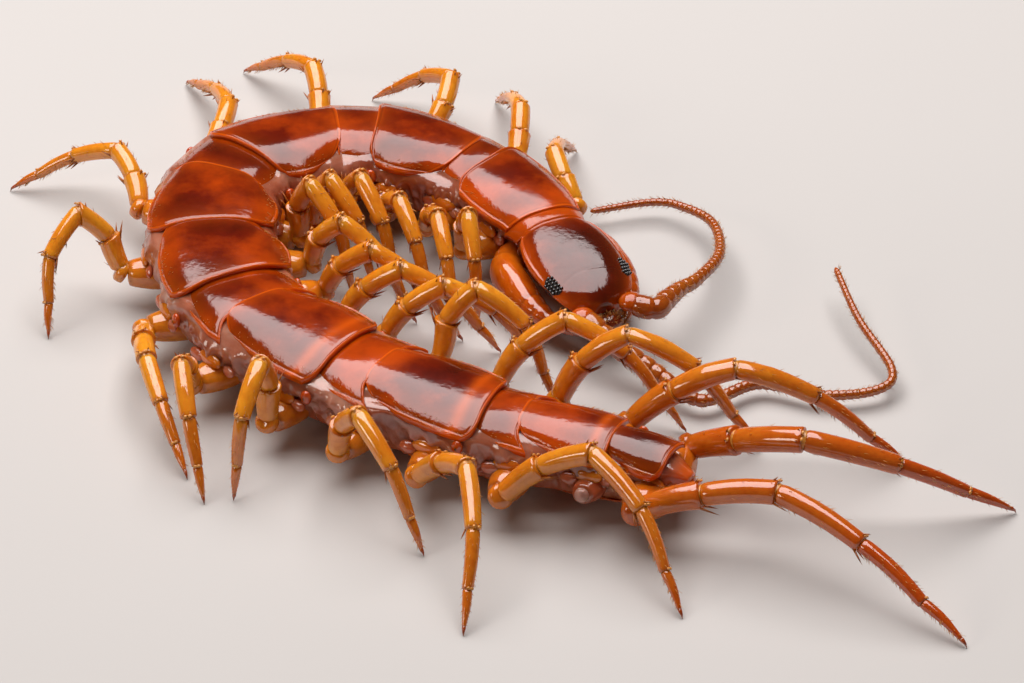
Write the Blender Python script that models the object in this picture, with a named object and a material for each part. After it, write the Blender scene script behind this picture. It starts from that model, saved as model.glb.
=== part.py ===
"""A stone centipede, life size, curled round to its own right on level ground.

The model is laid out in millimetres and turned into metres as each mesh is made.
The body is a chain of straight pieces from the head to the tail, cut by flat planes.
A bearing is measured in degrees from +X towards +Y, and a climb from the level, upwards.
"""
import math

import bmesh
import bpy
from mathutils import Quaternion, Vector

MM = 0.001
GAP = 0.3

# Where the middle of the ground under the model lies in its layout
ORIGIN = Vector((-0.349, -0.204, 0.0))

# Body, head first: length along the back and tailward bearing of each piece
HEAD_FRONT = Vector((2.43, -0.58, 0.0))
HEAD_LENGTH = 3.3
COLLAR_LENGTH = 0.7
BACK_LENGTHS = (2.3, 0.9, 2.5, 1.2, 2.6, 1.35, 2.35, 2.5, 1.4, 2.95, 1.3, 3.05, 1.1, 2.3, 1.6)
TAIL_LENGTH = 0.7
SHORT_PLATE = 1.5
BEARINGS = (115, 115, 125, 140, 155, 180, 205, 240, 265, 285, 300, 320, 325, 330, 340, 340, 335, 330)
POINTED_PLATES = (9, 11, 13)
SEGMENTS = range(1, 16)

# Half widths of the flesh and of the back plates, segment 1 to 15
BODY_HALF = (1.25, 1.36, 1.48, 1.56, 1.64, 1.70, 1.78, 1.80, 1.76, 1.70, 1.62, 1.52, 1.38, 1.16, 0.86)
PLATE_HALF = (1.28, 1.22, 1.38, 1.40, 1.48, 1.56, 1.70, 1.74, 1.64, 1.60, 1.50, 1.42, 1.24, 1.08, 0.84)

# Heights above the ground
BELLY_Z = 0.45
BACK_Z = 2.65
FRONT_SINK = 0.3
REAR_SINK = 0.5
HIGHEST_AT = 15.0
PLATE_DROP = 0.55
PLATE_THICK = 0.12

# Cross section of the flesh: out as a share of its half width, up as a share of its depth
FLANK = ((0.45, 0.0), (0.66, 0.12), (0.72, 0.3), (0.95, 0.64), (1.0, 0.83))
FLANK_SWELL = 0.05

# Cross section of a back plate: out as a share of its half width, down from its crown
PLATE_CROWN = ((0.8, 0.2), (0.45, 0.045), (0.0, 0.0))
RIM_UNDERCUT = 0.1
RIM_DROP = 0.02

# Legs: hips stand evenly along the belly, whatever the length of the plates above
FIRST_HIP = 0.9
HIP_STEP = 2.05
LAST_HIP = 29.2
HIP_Z = 1.0
LAST_HIPS_RISE = 0.2
HIP_PROUD = 0.55
INNER_PROUD = 0.9
INNER_SEGMENTS = range(7, 14)
PODOMERES = (1.0, 1.1, 1.4, 1.2, 0.75)
LEG_RADII = (0.33, 0.31, 0.27, 0.25, 0.19)
LEG_SIZES = (0.85, 0.87, 0.9, 0.95, 0.95, 0.97, 1.0, 1.03, 1.05, 1.08, 1.15, 1.28, 1.4, 1.6, 1.8)
STOUTER_AFTER = 12
STOUTER_STEP = 0.06
BEND_SHARES = (0.0, 0.2, 0.78, 1.0, 1.0)
FOOT_Z = 0.2
FOOT_RADIUS = 0.15
COXA_RADIUS = 0.35
LEG_SIDES = 8
ROUND_SIDES = 10

# Stance of each leg: where its foot stands, and how far its arch leans to its right of upright, in degrees.
# A foot that can be seen stands where its tip in the photograph meets the floor.
STANCES = {
    ("left", 1): (1.7, 8.6, -30),
    ("left", 2): (-0.4, 11.0, 20),
    ("left", 3): (-3.7, 11.2, 50),
    ("left", 4): (-7.3, 12.5, 35),
    ("left", 5): (-8.9, 11.9, 50),
    ("left", 6): (-13.4, 6.9, 50),
    ("left", 7): (-12.2, 0.2, 30),
    ("left", 8): (-8.4, -5.9, 20),
    ("left", 9): (-7.9, -7.0, 10),
    ("left", 10): (-7.1, -6.9, 0),
    ("left", 11): (-2.3, -9.2, 5),
    ("left", 12): (-1.2, -12.4, -25),
    ("left", 13): (4.2, -11.7, -30),
    ("left", 15): (11.2, -12.9, -35),
    ("right", 1): (-0.9, 0.75, 0),
    ("right", 2): (-1.5, 0.6, 0),
    ("right", 3): (-2.15, 1.3, 0),
    ("right", 4): (-3.05, 2.15, 0),
    ("right", 5): (-3.7, 2.3, 0),
    ("right", 6): (-4.25, 2.0, 0),
    ("right", 7): (-2.6, 0.8, 5),
    ("right", 8): (-1.4, 0.0, 5),
    ("right", 9): (-0.4, -0.55, 0),
    ("right", 10): (0.8, -1.2, 0),
    ("right", 11): (1.1, -2.95, -15),
    ("right", 12): (4.4, -4.0, -10),
    ("right", 13): (6.3, -4.8, -5),
    ("right", 14): (10.1, -5.6, 0),
    ("right", 15): (12.7, -7.5, 35),
}

# The leg left_14 is lost, as in the living animal, and only its coxa is there
LOST_LEG = ("left", 14)

# Head: half width and underside along its length, front to rear
HEAD_HALF = ((0.0, 0.72), (0.08, 0.98), (0.3, 1.2), (0.6, 1.27), (0.88, 1.14), (1.0, 1.0))
HEAD_TOP = (1.8, 2.35)
HEAD_UNDER = (1.38, 1.6)
HEAD_CROWN = 0.1
HEAD_RIM_SHARE = 0.4
HEAD_RIM_THICK = 0.12
HEAD_RINGS = (0.0, 0.06, 0.18, 0.35, 0.6, 0.85, 0.95, 1.0)
EYE_AT = (0.34, 0.98, 1.93)
EYE_SIZE = (0.2, 0.28, 0.2)
EYE_GAP = 0.3

# Forcipular segment: half widths of its flesh and plate, front to rear, and the plate between the claws,
# as (distance behind the head, half width) and the heights of its two faces
COLLAR_HALF = (0.85, 1.0)
COLLAR_PLATE_HALF = (0.98, 1.12)
COXOSTERNITE = ((0.3, 0.6), (-0.6, 0.62), (-1.4, 0.5), (-1.9, 0.34))
COXOSTERNITE_Z = (0.6, 1.1)

# Mouthparts: distance behind the front of the head, height and radius
MOUTHPARTS = ((1.1, 0.8, 0.15), (0.6, 0.82, 0.2), (0.15, 0.85, 0.2), (-0.15, 0.93, 0.17), (-0.3, 1.05, 0.1))

# Tail: fraction of its length, half width, underside and top
TAIL = ((0.0, 0.4, 0.7, 1.75), (0.5, 0.36, 0.75, 1.6), (1.0, 0.2, 0.95, 1.35))
TAIL_BEVEL = 0.25

# Forcipules, as places behind, beside and above the rear of the head, with radii
FORCIPULE_PATH = ((0.2, 1.15, 0.95), (0.0, 1.3, 0.95), (-0.8, 1.38, 0.95), (-1.6, 1.36, 0.92),
                  (-2.3, 1.2, 0.88), (-2.9, 0.85, 0.8), (-3.35, 0.42, 0.72))
FORCIPULE_RADII = (0.36, 0.39, 0.41, 0.38, 0.29, 0.17, 0.06)

# Antennae: the route of each from its socket to its tip
ANTENNA_RIGHT = ((1.93, -1.2, 1.57), (2.4, -1.6, 1.35), (2.95, -1.95, 1.05), (3.7, -2.35, 0.75),
                 (4.7, -3.2, 0.5), (5.35, -3.1, 0.45), (6.45, -2.45, 0.42), (8.05, -2.95, 0.42),
                 (9.5, -2.75, 0.45), (9.9, -2.0, 0.55), (9.1, -0.1, 0.8), (8.55, 1.95, 1.0))
ANTENNA_LEFT = ((3.2, -0.62, 1.65), (3.75, -0.75, 1.6), (4.05, -0.2, 1.5), (4.4, 0.4, 1.4), (4.9, 1.1, 1.25),
                (5.5, 2.6, 1.0), (5.35, 4.3, 0.8), (4.5, 5.3, 0.65), (3.7, 5.6, 0.55), (2.1, 5.25, 0.5))
ANTENNA_RADII = (0.27, 0.25, 0.15)
ARTICLE = 0.36
ANTENNA_SIDES = 7
ANTENNA_LENGTHS = ("base", "middle", "tip")


def heading(bearing, climb=0.0):
    """The unit vector of a bearing and a climb."""
    turn = math.radians(bearing)
    rise = math.radians(climb)
    return Vector((math.cos(turn) * math.cos(rise), math.sin(turn) * math.cos(rise), math.sin(rise)))


def left_of(tailward):
    """The animal's own left hand, from its tailward direction."""
    return Vector((tailward.y, -tailward.x, 0.0))


def clear_scene():
    for obj in list(bpy.data.objects):
        bpy.data.objects.remove(obj, do_unlink=True)


def material(name, colour, roughness):
    made = bpy.data.materials.new(name)
    made.use_nodes = True
    shader = made.node_tree.nodes["Principled BSDF"]
    shader.inputs["Base Color"].default_value = (*colour, 1.0)
    shader.inputs["Roughness"].default_value = roughness
    shader.inputs["Metallic"].default_value = 0.0
    return made


def mesh_object(name, points, faces):
    """A new object from points in millimetres; its faces are turned outward."""
    mesh = bpy.data.meshes.new(name)
    mesh.from_pydata([(point - ORIGIN) * MM for point in points], [], faces)
    shell = bmesh.new()
    shell.from_mesh(mesh)
    bmesh.ops.recalc_face_normals(shell, faces=shell.faces)
    bmesh.ops.triangulate(shell, faces=shell.faces)
    shell.to_mesh(mesh)
    shell.free()
    mesh.shade_smooth()
    obj = bpy.data.objects.new(name, mesh)
    bpy.context.scene.collection.objects.link(obj)
    return obj


def skin_rings(name, rings):
    """A closed solid through rings of equal count, with a flat cap on each end."""
    count = len(rings[0])
    points = [point for ring in rings for point in ring]
    faces = []
    for first in range(0, len(points) - count, count):
        for side in range(count):
            after = (side + 1) % count
            faces.append((first + side, first + after, first + count + after, first + count + side))
    faces.append(tuple(range(count)))
    faces.append(tuple(range(len(points) - count, len(points))))
    return mesh_object(name, points, faces)


def fuse(target, extras):
    """Joins the extras to the target and keeps the largest closed surface."""
    group = bpy.data.collections.new(target.name + "_extras")
    for extra in extras:
        group.objects.link(extra)
    union = target.modifiers.new("union", "BOOLEAN")
    union.operation = "UNION"
    union.operand_type = "COLLECTION"
    union.collection = group
    union.solver = "EXACT"
    settle(target)
    for extra in extras:
        bpy.data.objects.remove(extra, do_unlink=True)
    bpy.data.collections.remove(group)


def carve(target, cutter):
    """Cuts the cutter out of the target."""
    cut = target.modifiers.new("cut", "BOOLEAN")
    cut.operation = "DIFFERENCE"
    cut.object = cutter
    cut.solver = "EXACT"
    settle(target)
    bpy.data.objects.remove(cutter, do_unlink=True)


def settle(target):
    """Applies the modifiers and keeps only the largest closed surface."""
    graph = bpy.context.evaluated_depsgraph_get()
    done = bpy.data.meshes.new_from_object(target.evaluated_get(graph))
    target.modifiers.clear()
    target.data = done
    shell = bmesh.new()
    shell.from_mesh(done)
    loose = set(shell.verts)
    islands = []
    while loose:
        edge = [loose.pop()]
        island = set(edge)
        while edge:
            for link in edge.pop().link_edges:
                for corner in link.verts:
                    if corner in loose:
                        loose.remove(corner)
                        island.add(corner)
                        edge.append(corner)
        islands.append(island)
    islands.sort(key=len)
    scraps = [corner for island in islands[:-1] for corner in island]
    bmesh.ops.delete(shell, geom=scraps, context="VERTS")
    bmesh.ops.triangulate(shell, faces=shell.faces)
    shell.to_mesh(done)
    shell.free()


def blend(table, at):
    """The value at a place in a table of (place, value) pairs."""
    for (left, low), (right, high) in zip(table, table[1:]):
        if at <= right:
            return low + (high - low) * (at - left) / (right - left)
    return table[-1][1]


# The chain of body pieces
PIECE_LENGTHS = (HEAD_LENGTH, COLLAR_LENGTH, *BACK_LENGTHS, TAIL_LENGTH)
JOINTS = [HEAD_FRONT]
for piece_length, piece_bearing in zip(PIECE_LENGTHS, BEARINGS):
    JOINTS.append(JOINTS[-1] + heading(piece_bearing) * piece_length)
FIRST_TRUNK = 2
TRUNK_START = HEAD_LENGTH + COLLAR_LENGTH
JOINT_AT = [sum(PIECE_LENGTHS[:count]) - TRUNK_START for count in range(len(PIECE_LENGTHS) + 1)]


def back_height(station):
    """Height of the back over a station, from the front of the first trunk segment."""
    if station < HIGHEST_AT:
        return BACK_Z - FRONT_SINK * (1.0 - station / HIGHEST_AT) ** 2
    return BACK_Z - REAR_SINK * ((station - HIGHEST_AT) / (JOINT_AT[-1] - HIGHEST_AT)) ** 2


def hip_station(segment):
    """Where along the body a pair of legs stands."""
    return LAST_HIP if segment == 15 else FIRST_HIP + HIP_STEP * (segment - 1)


def belly_shift(joint):
    """How far behind its back edge the belly edge of a joint lies."""
    segment = joint - FIRST_TRUNK
    if segment < 1 or segment > 14:
        return 0.0
    edge = FIRST_HIP + HIP_STEP * (segment - 0.5)
    return edge - JOINT_AT[joint]


class Piece:
    """One straight length of the body between the planes of its two joints."""

    def __init__(self, index, front_gap=True, rear_gap=True):
        self.index = index
        self.tailward = heading(BEARINGS[index])
        self.left = left_of(self.tailward)
        self.gaps = (GAP / 2 if front_gap else 0.0, -GAP / 2 if rear_gap else 0.0)

    def reach(self, end, side, height):
        """Distance behind the front joint at which a lengthwise line meets the end plane."""
        joint = self.index + end
        neighbour = min(max(self.index + (1 if end else -1), 0), len(BEARINGS) - 1)
        normal = heading((BEARINGS[self.index] + BEARINGS[neighbour]) / 2)
        top = back_height(JOINT_AT[joint])
        slope = belly_shift(joint) / (top - BELLY_Z)
        shift = slope * (top - height) + self.gaps[end] * math.hypot(1.0, slope)
        offset = normal.dot(self.left * side) + normal.dot(JOINTS[self.index] - JOINTS[joint])
        return (shift - offset) / normal.dot(self.tailward)

    def place(self, fraction, side, height):
        """A point of this piece, by its fraction of the length, its side and its height."""
        front = self.reach(0, side, height)
        rear = self.reach(1, side, height)
        along = front + (rear - front) * fraction
        return JOINTS[self.index] + self.tailward * along + self.left * side + Vector((0, 0, height))

    def ring(self, fraction, section):
        """A ring through (side, height) pairs from belly to back, mirrored."""
        pairs = section + [(-side, height) for side, height in reversed(section[1:-1])]
        return [self.place(fraction, side, height) for side, height in pairs]


def trunk_section(half, plate, top, belly=BELLY_Z):
    """Half of a cross section, from the middle of the belly to the middle of the back."""
    margin = top - PLATE_DROP
    deep = margin - belly
    flank = [(out * half, belly + rise * deep) for out, rise in FLANK]
    rim = [(plate - RIM_UNDERCUT, margin - RIM_DROP), (plate, margin), (plate - 0.01, margin + PLATE_THICK)]
    crown = [(out * plate, top - drop) for out, drop in PLATE_CROWN]
    return [(0.0, belly), *flank, *rim, *crown]


LONG_SHAPE = ((0.0, 0.8), (0.12, 0.93), (0.4, 1.0), (0.75, 1.02), (0.92, 1.0), (1.0, 0.93))
SHORT_SHAPE = ((0.0, 0.9), (1.0, 1.0))
POINTED_SHAPE = ((0.0, 0.86), (0.5, 0.96), (1.0, 1.1))
RING_FRACTIONS = (0.0, 0.12, 0.4, 0.75, 0.92, 1.0)


def half_at(table, joint):
    """Half width at a joint, between those of the segments on its two sides."""
    before = min(max(joint - FIRST_TRUNK - 1, 0), len(table) - 1)
    after = min(max(joint - FIRST_TRUNK, 0), len(table) - 1)
    return (table[before] + table[after]) / 2


def make_trunk(segment):
    index = segment + FIRST_TRUNK - 1
    piece = Piece(index)
    if segment in POINTED_PLATES:
        shape = POINTED_SHAPE
    elif BACK_LENGTHS[segment - 1] < SHORT_PLATE:
        shape = SHORT_SHAPE
    else:
        shape = LONG_SHAPE
    rings = []
    for fraction in RING_FRACTIONS:
        ends = (half_at(BODY_HALF, index), half_at(BODY_HALF, index + 1))
        swell = FLANK_SWELL * math.sin(math.pi * fraction)
        half = ends[0] + (ends[1] - ends[0]) * fraction + swell
        plate = PLATE_HALF[segment - 1] * blend(shape, fraction)
        station = JOINT_AT[index] + (JOINT_AT[index + 1] - JOINT_AT[index]) * fraction
        rings.append(piece.ring(fraction, trunk_section(half, plate, back_height(station))))
    return skin_rings(f"trunk_{segment:02d}", rings)


def tube(name, rings_at, sides):
    """A tube through (centre, direction, radius) rings, without twist."""
    rings = []
    direction = rings_at[0][1].normalized()
    across = direction.cross(Vector((0, 0, 1)))
    if across.length < 0.1:
        across = Vector((1, 0, 0))
    across.normalize()
    for centre, normal, radius in rings_at:
        normal = normal.normalized()
        across.rotate(direction.rotation_difference(normal))
        across = (across - normal * across.dot(normal)).normalized()
        direction = normal
        other = direction.cross(across)
        ring = []
        for side in range(sides):
            turn = 2 * math.pi * (side + 0.5) / sides
            ring.append(centre + (across * math.cos(turn) + other * math.sin(turn)) * radius)
        rings.append(ring)
    return skin_rings(name, rings)


def station_frame(station):
    """Centre, tailward and left directions of the body at a station."""
    for index in range(len(PIECE_LENGTHS)):
        if station <= JOINT_AT[index + 1] or index == len(PIECE_LENGTHS) - 1:
            break
    middles = [(JOINT_AT[k] + JOINT_AT[k + 1]) / 2 for k in range(len(PIECE_LENGTHS))]
    bearing = blend(list(zip(middles, BEARINGS)), max(station, middles[0]))
    centre = JOINTS[index] + heading(BEARINGS[index]) * (station - JOINT_AT[index])
    return centre, heading(bearing), left_of(heading(bearing))


def outward(side, left):
    """The direction out of the body on one side."""
    return left if side == "left" else -left


def stoutness(segment):
    """How much thicker a leg is than those of the middle of the body."""
    return 1.0 + STOUTER_STEP * max(segment - STOUTER_AFTER, 0)


def hip_place(side, segment):
    """Where a leg leaves its coxa, and the direction out of the body there."""
    centre, _, left = station_frame(hip_station(segment))
    out = outward(side, left)
    inner = side == "right" and segment in INNER_SEGMENTS
    reach = BODY_HALF[segment - 1] + (INNER_PROUD if inner else HIP_PROUD) * stoutness(segment)
    height = HIP_Z + (LAST_HIPS_RISE if segment > 13 else 0.0)
    return centre + out * reach + Vector((0, 0, height)), out


def arch(lengths, span):
    """Angles of a chain's lengths above its chord, bent evenly until the chain spans the chord."""
    straight = 0.0
    curled = math.radians(200)
    for _ in range(50):
        bend = (straight + curled) / 2
        along = sum(length * math.cos(bend * share) for length, share in zip(lengths, BEND_SHARES))
        fall = sum(length * math.sin(bend * share) for length, share in zip(lengths, BEND_SHARES))
        if math.hypot(along, fall) > span:
            straight = bend
        else:
            curled = bend
    start = math.atan2(fall, along)
    return [start - bend * share for share in BEND_SHARES]


def leg_points(side, segment):
    """Hip, the ends of the five podomeres, and the axis along which the leg leaves its coxa."""
    foot_x, foot_y, lean = STANCES[side, segment]
    hip, out = hip_place(side, segment)
    foot = Vector((foot_x, foot_y, FOOT_Z))
    lengths = [length * LEG_SIZES[segment - 1] for length in PODOMERES]
    chord = (foot - hip).normalized()
    upright = Vector((0, 0, 1)) - chord * chord.z
    upright.rotate(Quaternion(chord, math.radians(lean)))
    upright.normalize()
    points = [hip]
    for length, angle in zip(lengths, arch(lengths, (foot - hip).length)):
        points.append(points[-1] + (chord * math.cos(angle) + upright * math.sin(angle)) * length)
    axis = (out + (points[1] - hip).normalized() * 0.9).normalized()
    return points, axis


def bend_offset(before, after, radius):
    """How far from a bend its two rings stand, so that they don't cross inside."""
    angle = before.angle(after)
    return radius * math.tan(min(angle, 2.2) / 2) + 0.03


def make_leg(side, segment):
    """One leg from trochanter to foot, and the place and axis where its coxa meets it."""
    points, axis = leg_points(side, segment)
    radii = [radius * stoutness(segment) for radius in LEG_RADII]
    ways = [(after - before).normalized() for before, after in zip(points, points[1:])]
    start = bend_offset(axis, ways[0], radii[0])
    root = points[0] - axis * start
    rings = [(root, axis, radii[0] * 0.95), (points[0] + ways[0] * start, ways[0], radii[0] * 0.95)]
    for joint in (1, 2, 3):
        thick = radii[joint - 1]
        thin = radii[joint]
        middle = (points[joint - 1] + points[joint]) / 2
        rings.append((middle, ways[joint - 1], thick * 1.04))
        before = bend_offset(ways[joint - 1], ways[joint], thick)
        after = bend_offset(ways[joint - 1], ways[joint], thin)
        rings.append((points[joint] - ways[joint - 1] * before, ways[joint - 1], thick * 0.97))
        rings.append((points[joint] + ways[joint] * after, ways[joint], thin * 0.95))
    down = Vector((0, 0, -1))
    foot = bend_offset(ways[4], down, radii[4] * 0.9)
    rings.append((points[4], ways[3], (radii[3] + radii[4]) / 2))
    rings.append((points[5] - ways[4] * foot, ways[4], radii[4] * 0.85))
    rings.append((Vector((points[5].x, points[5].y, 0.0)), down, FOOT_RADIUS))
    leg = tube(f"leg_{side}_{segment:02d}", rings, LEG_SIDES)
    for corner in leg.data.vertices:
        corner.co.z = max(corner.co.z, 0.0)
    return leg, root, axis


def make_coxa(side, segment, root, axis):
    """The coxa of one leg, from inside its segment out to a gap from the leg."""
    centre, _, left = station_frame(hip_station(segment))
    out = outward(side, left)
    inner = centre + out * BODY_HALF[segment - 1] * 0.45 + Vector((0, 0, HIP_Z))
    outer = root - axis * GAP
    neck = outer - axis * 0.12
    way = (neck - inner).normalized()
    rings = [(inner, way, COXA_RADIUS * 1.1), (inner.lerp(neck, 0.6), way, COXA_RADIUS * 1.15),
             (neck, (way + axis).normalized(), COXA_RADIUS * 1.05), (outer, axis, COXA_RADIUS * 0.95)]
    return tube(f"coxa_{side}_{segment:02d}", rings, LEG_SIDES)


def head_section(fraction):
    """Half of a cross section of the head."""
    half = blend(HEAD_HALF, fraction)
    top = HEAD_TOP[0] + (HEAD_TOP[1] - HEAD_TOP[0]) * fraction + HEAD_CROWN * math.sin(math.pi * fraction)
    under = HEAD_UNDER[0] + (HEAD_UNDER[1] - HEAD_UNDER[0]) * fraction
    rim = under + HEAD_RIM_SHARE * (top - under)
    return [(0.0, under), (0.5 * half, under), (0.88 * half, under + 0.06), (half, rim),
            (half - 0.03, rim + HEAD_RIM_THICK), (0.82 * half, top - 0.16), (0.45 * half, top - 0.04), (0.0, top)]


def make_head():
    piece = Piece(0, front_gap=False)
    rings = [piece.ring(fraction, head_section(fraction)) for fraction in HEAD_RINGS]
    head = skin_rings("head", rings)
    eyes = []
    for side, sign in (("left", 1), ("right", -1)):
        fraction, out, height = EYE_AT
        centre = piece.place(fraction, sign * out, height)
        socket = ellipsoid(f"socket_{side}", centre, piece, [size + EYE_GAP for size in EYE_SIZE])
        carve(head, socket)
        eyes.append(ellipsoid(f"eye_{side}", centre, piece, EYE_SIZE))
    return head, eyes


def ellipsoid(name, centre, piece, size, rows=6, sides=ROUND_SIDES):
    """A ball stretched to (side, tailward, up) half sizes along a piece of the body."""
    points = [centre + Vector((0, 0, size[2]))]
    for row in range(1, rows):
        tilt = math.pi * row / rows
        for side in range(sides):
            turn = 2 * math.pi * side / sides
            out = piece.left * (size[0] * math.sin(tilt) * math.cos(turn))
            back = piece.tailward * (size[1] * math.sin(tilt) * math.sin(turn))
            points.append(centre + out + back + Vector((0, 0, size[2] * math.cos(tilt))))
    points.append(centre - Vector((0, 0, size[2])))
    faces = []
    last = len(points) - 1
    for side in range(sides):
        after = (side + 1) % sides
        faces.append((0, 1 + side, 1 + after))
        faces.append((last, last - sides + side, last - sides + after))
        for row in range(rows - 2):
            near = 1 + row * sides
            far = near + sides
            faces.append((near + side, far + side, far + after, near + after))
    return mesh_object(name, points, faces)


def make_collar():
    """The forcipular segment, with its plate under the head that carries the forcipules."""
    piece = Piece(1)
    rings = []
    for fraction in (0.0, 0.5, 1.0):
        half = COLLAR_HALF[0] + (COLLAR_HALF[1] - COLLAR_HALF[0]) * fraction
        plate_half = COLLAR_PLATE_HALF[0] + (COLLAR_PLATE_HALF[1] - COLLAR_PLATE_HALF[0]) * fraction
        rings.append(piece.ring(fraction, trunk_section(half, plate_half, back_height(0))))
    collar = skin_rings("forcipular_segment", rings)
    head = Piece(0)
    low, high = COXOSTERNITE_Z
    plate = []
    for behind, half in COXOSTERNITE:
        centre = JOINTS[1] + head.tailward * behind
        ring = []
        for side, height in ((-half, low), (half, low), (half, high), (-half, high)):
            ring.append(centre + head.left * side + Vector((0, 0, height)))
        plate.append(ring)
    fuse(collar, [skin_rings("coxosternite", plate)])
    return collar


def path_rings(points, radii):
    """Rings square to a path of points, halfway round each bend."""
    rings = []
    for count, point in enumerate(points):
        before = points[max(count - 1, 0)]
        after = points[min(count + 1, len(points) - 1)]
        rings.append((point, after - before, radii[count]))
    return rings


def make_forcipule(side):
    sign = 1 if side == "left" else -1
    tailward = heading(BEARINGS[0])
    left = left_of(tailward)
    points = [JOINTS[1] + tailward * along + left * sign * out + Vector((0, 0, height))
              for along, out, height in FORCIPULE_PATH]
    rings = path_rings(points, FORCIPULE_RADII)
    rings[0] = (points[0], left * sign, FORCIPULE_RADII[0])
    return tube(f"forcipule_{side}", rings, ROUND_SIDES)


def make_mouthparts():
    tailward = heading(BEARINGS[0])
    points = [JOINTS[0] + tailward * along + Vector((0, 0, height)) for along, height, _ in MOUTHPARTS]
    return tube("mouthparts", path_rings(points, [radius for _, _, radius in MOUTHPARTS]), ROUND_SIDES)


def make_tail():
    index = len(PIECE_LENGTHS) - 1
    piece = Piece(index, rear_gap=False)
    rings = []
    for fraction, half, low, high in TAIL:
        section = [(0.0, low), (0.6 * half, low), (half, low + TAIL_BEVEL), (half, high - TAIL_BEVEL),
                   (0.6 * half, high), (0.0, high)]
        rings.append(piece.ring(fraction, section))
    return skin_rings("tail", rings)


def smooth_route(route, step):
    """Points a step apart along a smooth curve through the route."""
    fine = []
    ends = [route[0] * 2 - route[1], *route, route[-1] * 2 - route[-2]]
    for p0, p1, p2, p3 in zip(ends, ends[1:], ends[2:], ends[3:]):
        for count in range(24):
            t = count / 24
            fine.append(((p1 * 2) + (p2 - p0) * t + (p0 * 2 - p1 * 5 + p2 * 4 - p3) * t * t
                         + (p1 * 3 - p0 - p2 * 3 + p3) * t * t * t) / 2)
    fine.append(route[-1])
    points = [fine[0]]
    left_over = 0.0
    for before, after in zip(fine, fine[1:]):
        length = (after - before).length
        travelled = step - left_over
        while travelled <= length:
            points.append(before.lerp(after, travelled / length))
            travelled += step
        left_over = length - (travelled - step)
    return points


def make_antenna(side, route):
    """An antenna of bead-like articles, in three lengths."""
    points = smooth_route([Vector(point) for point in route], ARTICLE / 2)
    third = len(points) // 3
    made = []
    for part, label in enumerate(ANTENNA_LENGTHS):
        first = part * third + (2 if part else 0)
        last = (part + 1) * third if part < 2 else len(points) - 1
        rings = []
        for count in range(first, last + 1):
            share = count / (len(points) - 1)
            radius = blend(((0.0, ANTENNA_RADII[0]), (0.6, ANTENNA_RADII[1]), (1.0, ANTENNA_RADII[2])), share)
            waist = 1.0 if count % 2 else 0.88
            before = points[max(count - 1, 0)]
            after = points[min(count + 1, len(points) - 1)]
            rings.append((points[count], after - before, radius * waist))
        made.append(tube(f"antenna_{side}_{label}", rings, ANTENNA_SIDES))
    return made


def paint(objects, name, colour, roughness):
    """Gives each object a material of its own of one look."""
    for obj in objects:
        obj.data.materials.clear()
        obj.data.materials.append(material(f"{name}_{obj.name}", colour, roughness))


def main():
    clear_scene()
    head, eyes = make_head()
    trunk = {segment: make_trunk(segment) for segment in SEGMENTS}
    legs = []
    coxae = {segment: [] for segment in SEGMENTS}
    for side, segment in STANCES:
        leg, root, axis = make_leg(side, segment)
        legs.append(leg)
        coxae[segment].append(make_coxa(side, segment, root, axis))
    stub, out = hip_place(*LOST_LEG)
    coxae[LOST_LEG[1]].append(make_coxa(*LOST_LEG, stub, out))
    for segment in SEGMENTS:
        fuse(trunk[segment], coxae[segment])
    forcipules = [make_forcipule("left"), make_forcipule("right")]
    antennae = make_antenna("left", ANTENNA_LEFT) + make_antenna("right", ANTENNA_RIGHT)
    paint([head, make_collar(), *trunk.values(), make_tail()], "tergite", (0.25, 0.035, 0.01), 0.25)
    paint(legs, "leg", (0.65, 0.25, 0.03), 0.35)
    paint(forcipules + [make_mouthparts()], "forcipule", (0.4, 0.07, 0.015), 0.25)
    paint(antennae, "antenna", (0.45, 0.13, 0.04), 0.5)
    paint(eyes, "eye", (0.01, 0.008, 0.008), 0.1)


main()
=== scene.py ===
"""The looks of the stone centipede: skin, plates, jointed legs, hairs, light and camera.

Lengths are in millimetres on the source's own layout and become metres as each mesh is made.
A station is a distance along the body, tailward from the front of the first trunk segment.
"""
import math
import random

import bpy
import numpy as np
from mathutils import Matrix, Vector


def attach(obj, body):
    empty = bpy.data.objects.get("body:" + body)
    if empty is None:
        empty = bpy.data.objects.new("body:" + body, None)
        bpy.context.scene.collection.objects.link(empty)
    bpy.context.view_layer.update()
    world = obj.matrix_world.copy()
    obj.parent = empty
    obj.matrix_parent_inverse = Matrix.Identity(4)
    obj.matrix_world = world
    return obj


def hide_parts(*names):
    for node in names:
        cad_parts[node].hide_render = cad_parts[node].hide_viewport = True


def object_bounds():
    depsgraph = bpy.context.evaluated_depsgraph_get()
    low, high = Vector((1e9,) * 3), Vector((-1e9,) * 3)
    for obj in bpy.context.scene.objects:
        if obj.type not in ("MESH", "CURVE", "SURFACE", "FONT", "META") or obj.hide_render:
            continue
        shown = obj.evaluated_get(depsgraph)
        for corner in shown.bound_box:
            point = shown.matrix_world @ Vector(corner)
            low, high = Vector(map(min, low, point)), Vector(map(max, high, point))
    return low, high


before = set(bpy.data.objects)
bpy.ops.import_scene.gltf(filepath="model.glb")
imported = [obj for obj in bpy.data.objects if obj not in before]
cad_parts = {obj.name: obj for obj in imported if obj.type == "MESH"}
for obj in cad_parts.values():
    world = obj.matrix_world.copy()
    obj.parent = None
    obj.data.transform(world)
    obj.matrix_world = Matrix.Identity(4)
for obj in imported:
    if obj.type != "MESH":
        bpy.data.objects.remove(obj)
CAD_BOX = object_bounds()

MM = 0.001
ORIGIN = np.array((-0.349, -0.204, 0.0))
UP = np.array((0.0, 0.0, 1.0))
SIGNS = {"left": 1, "right": -1}

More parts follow.
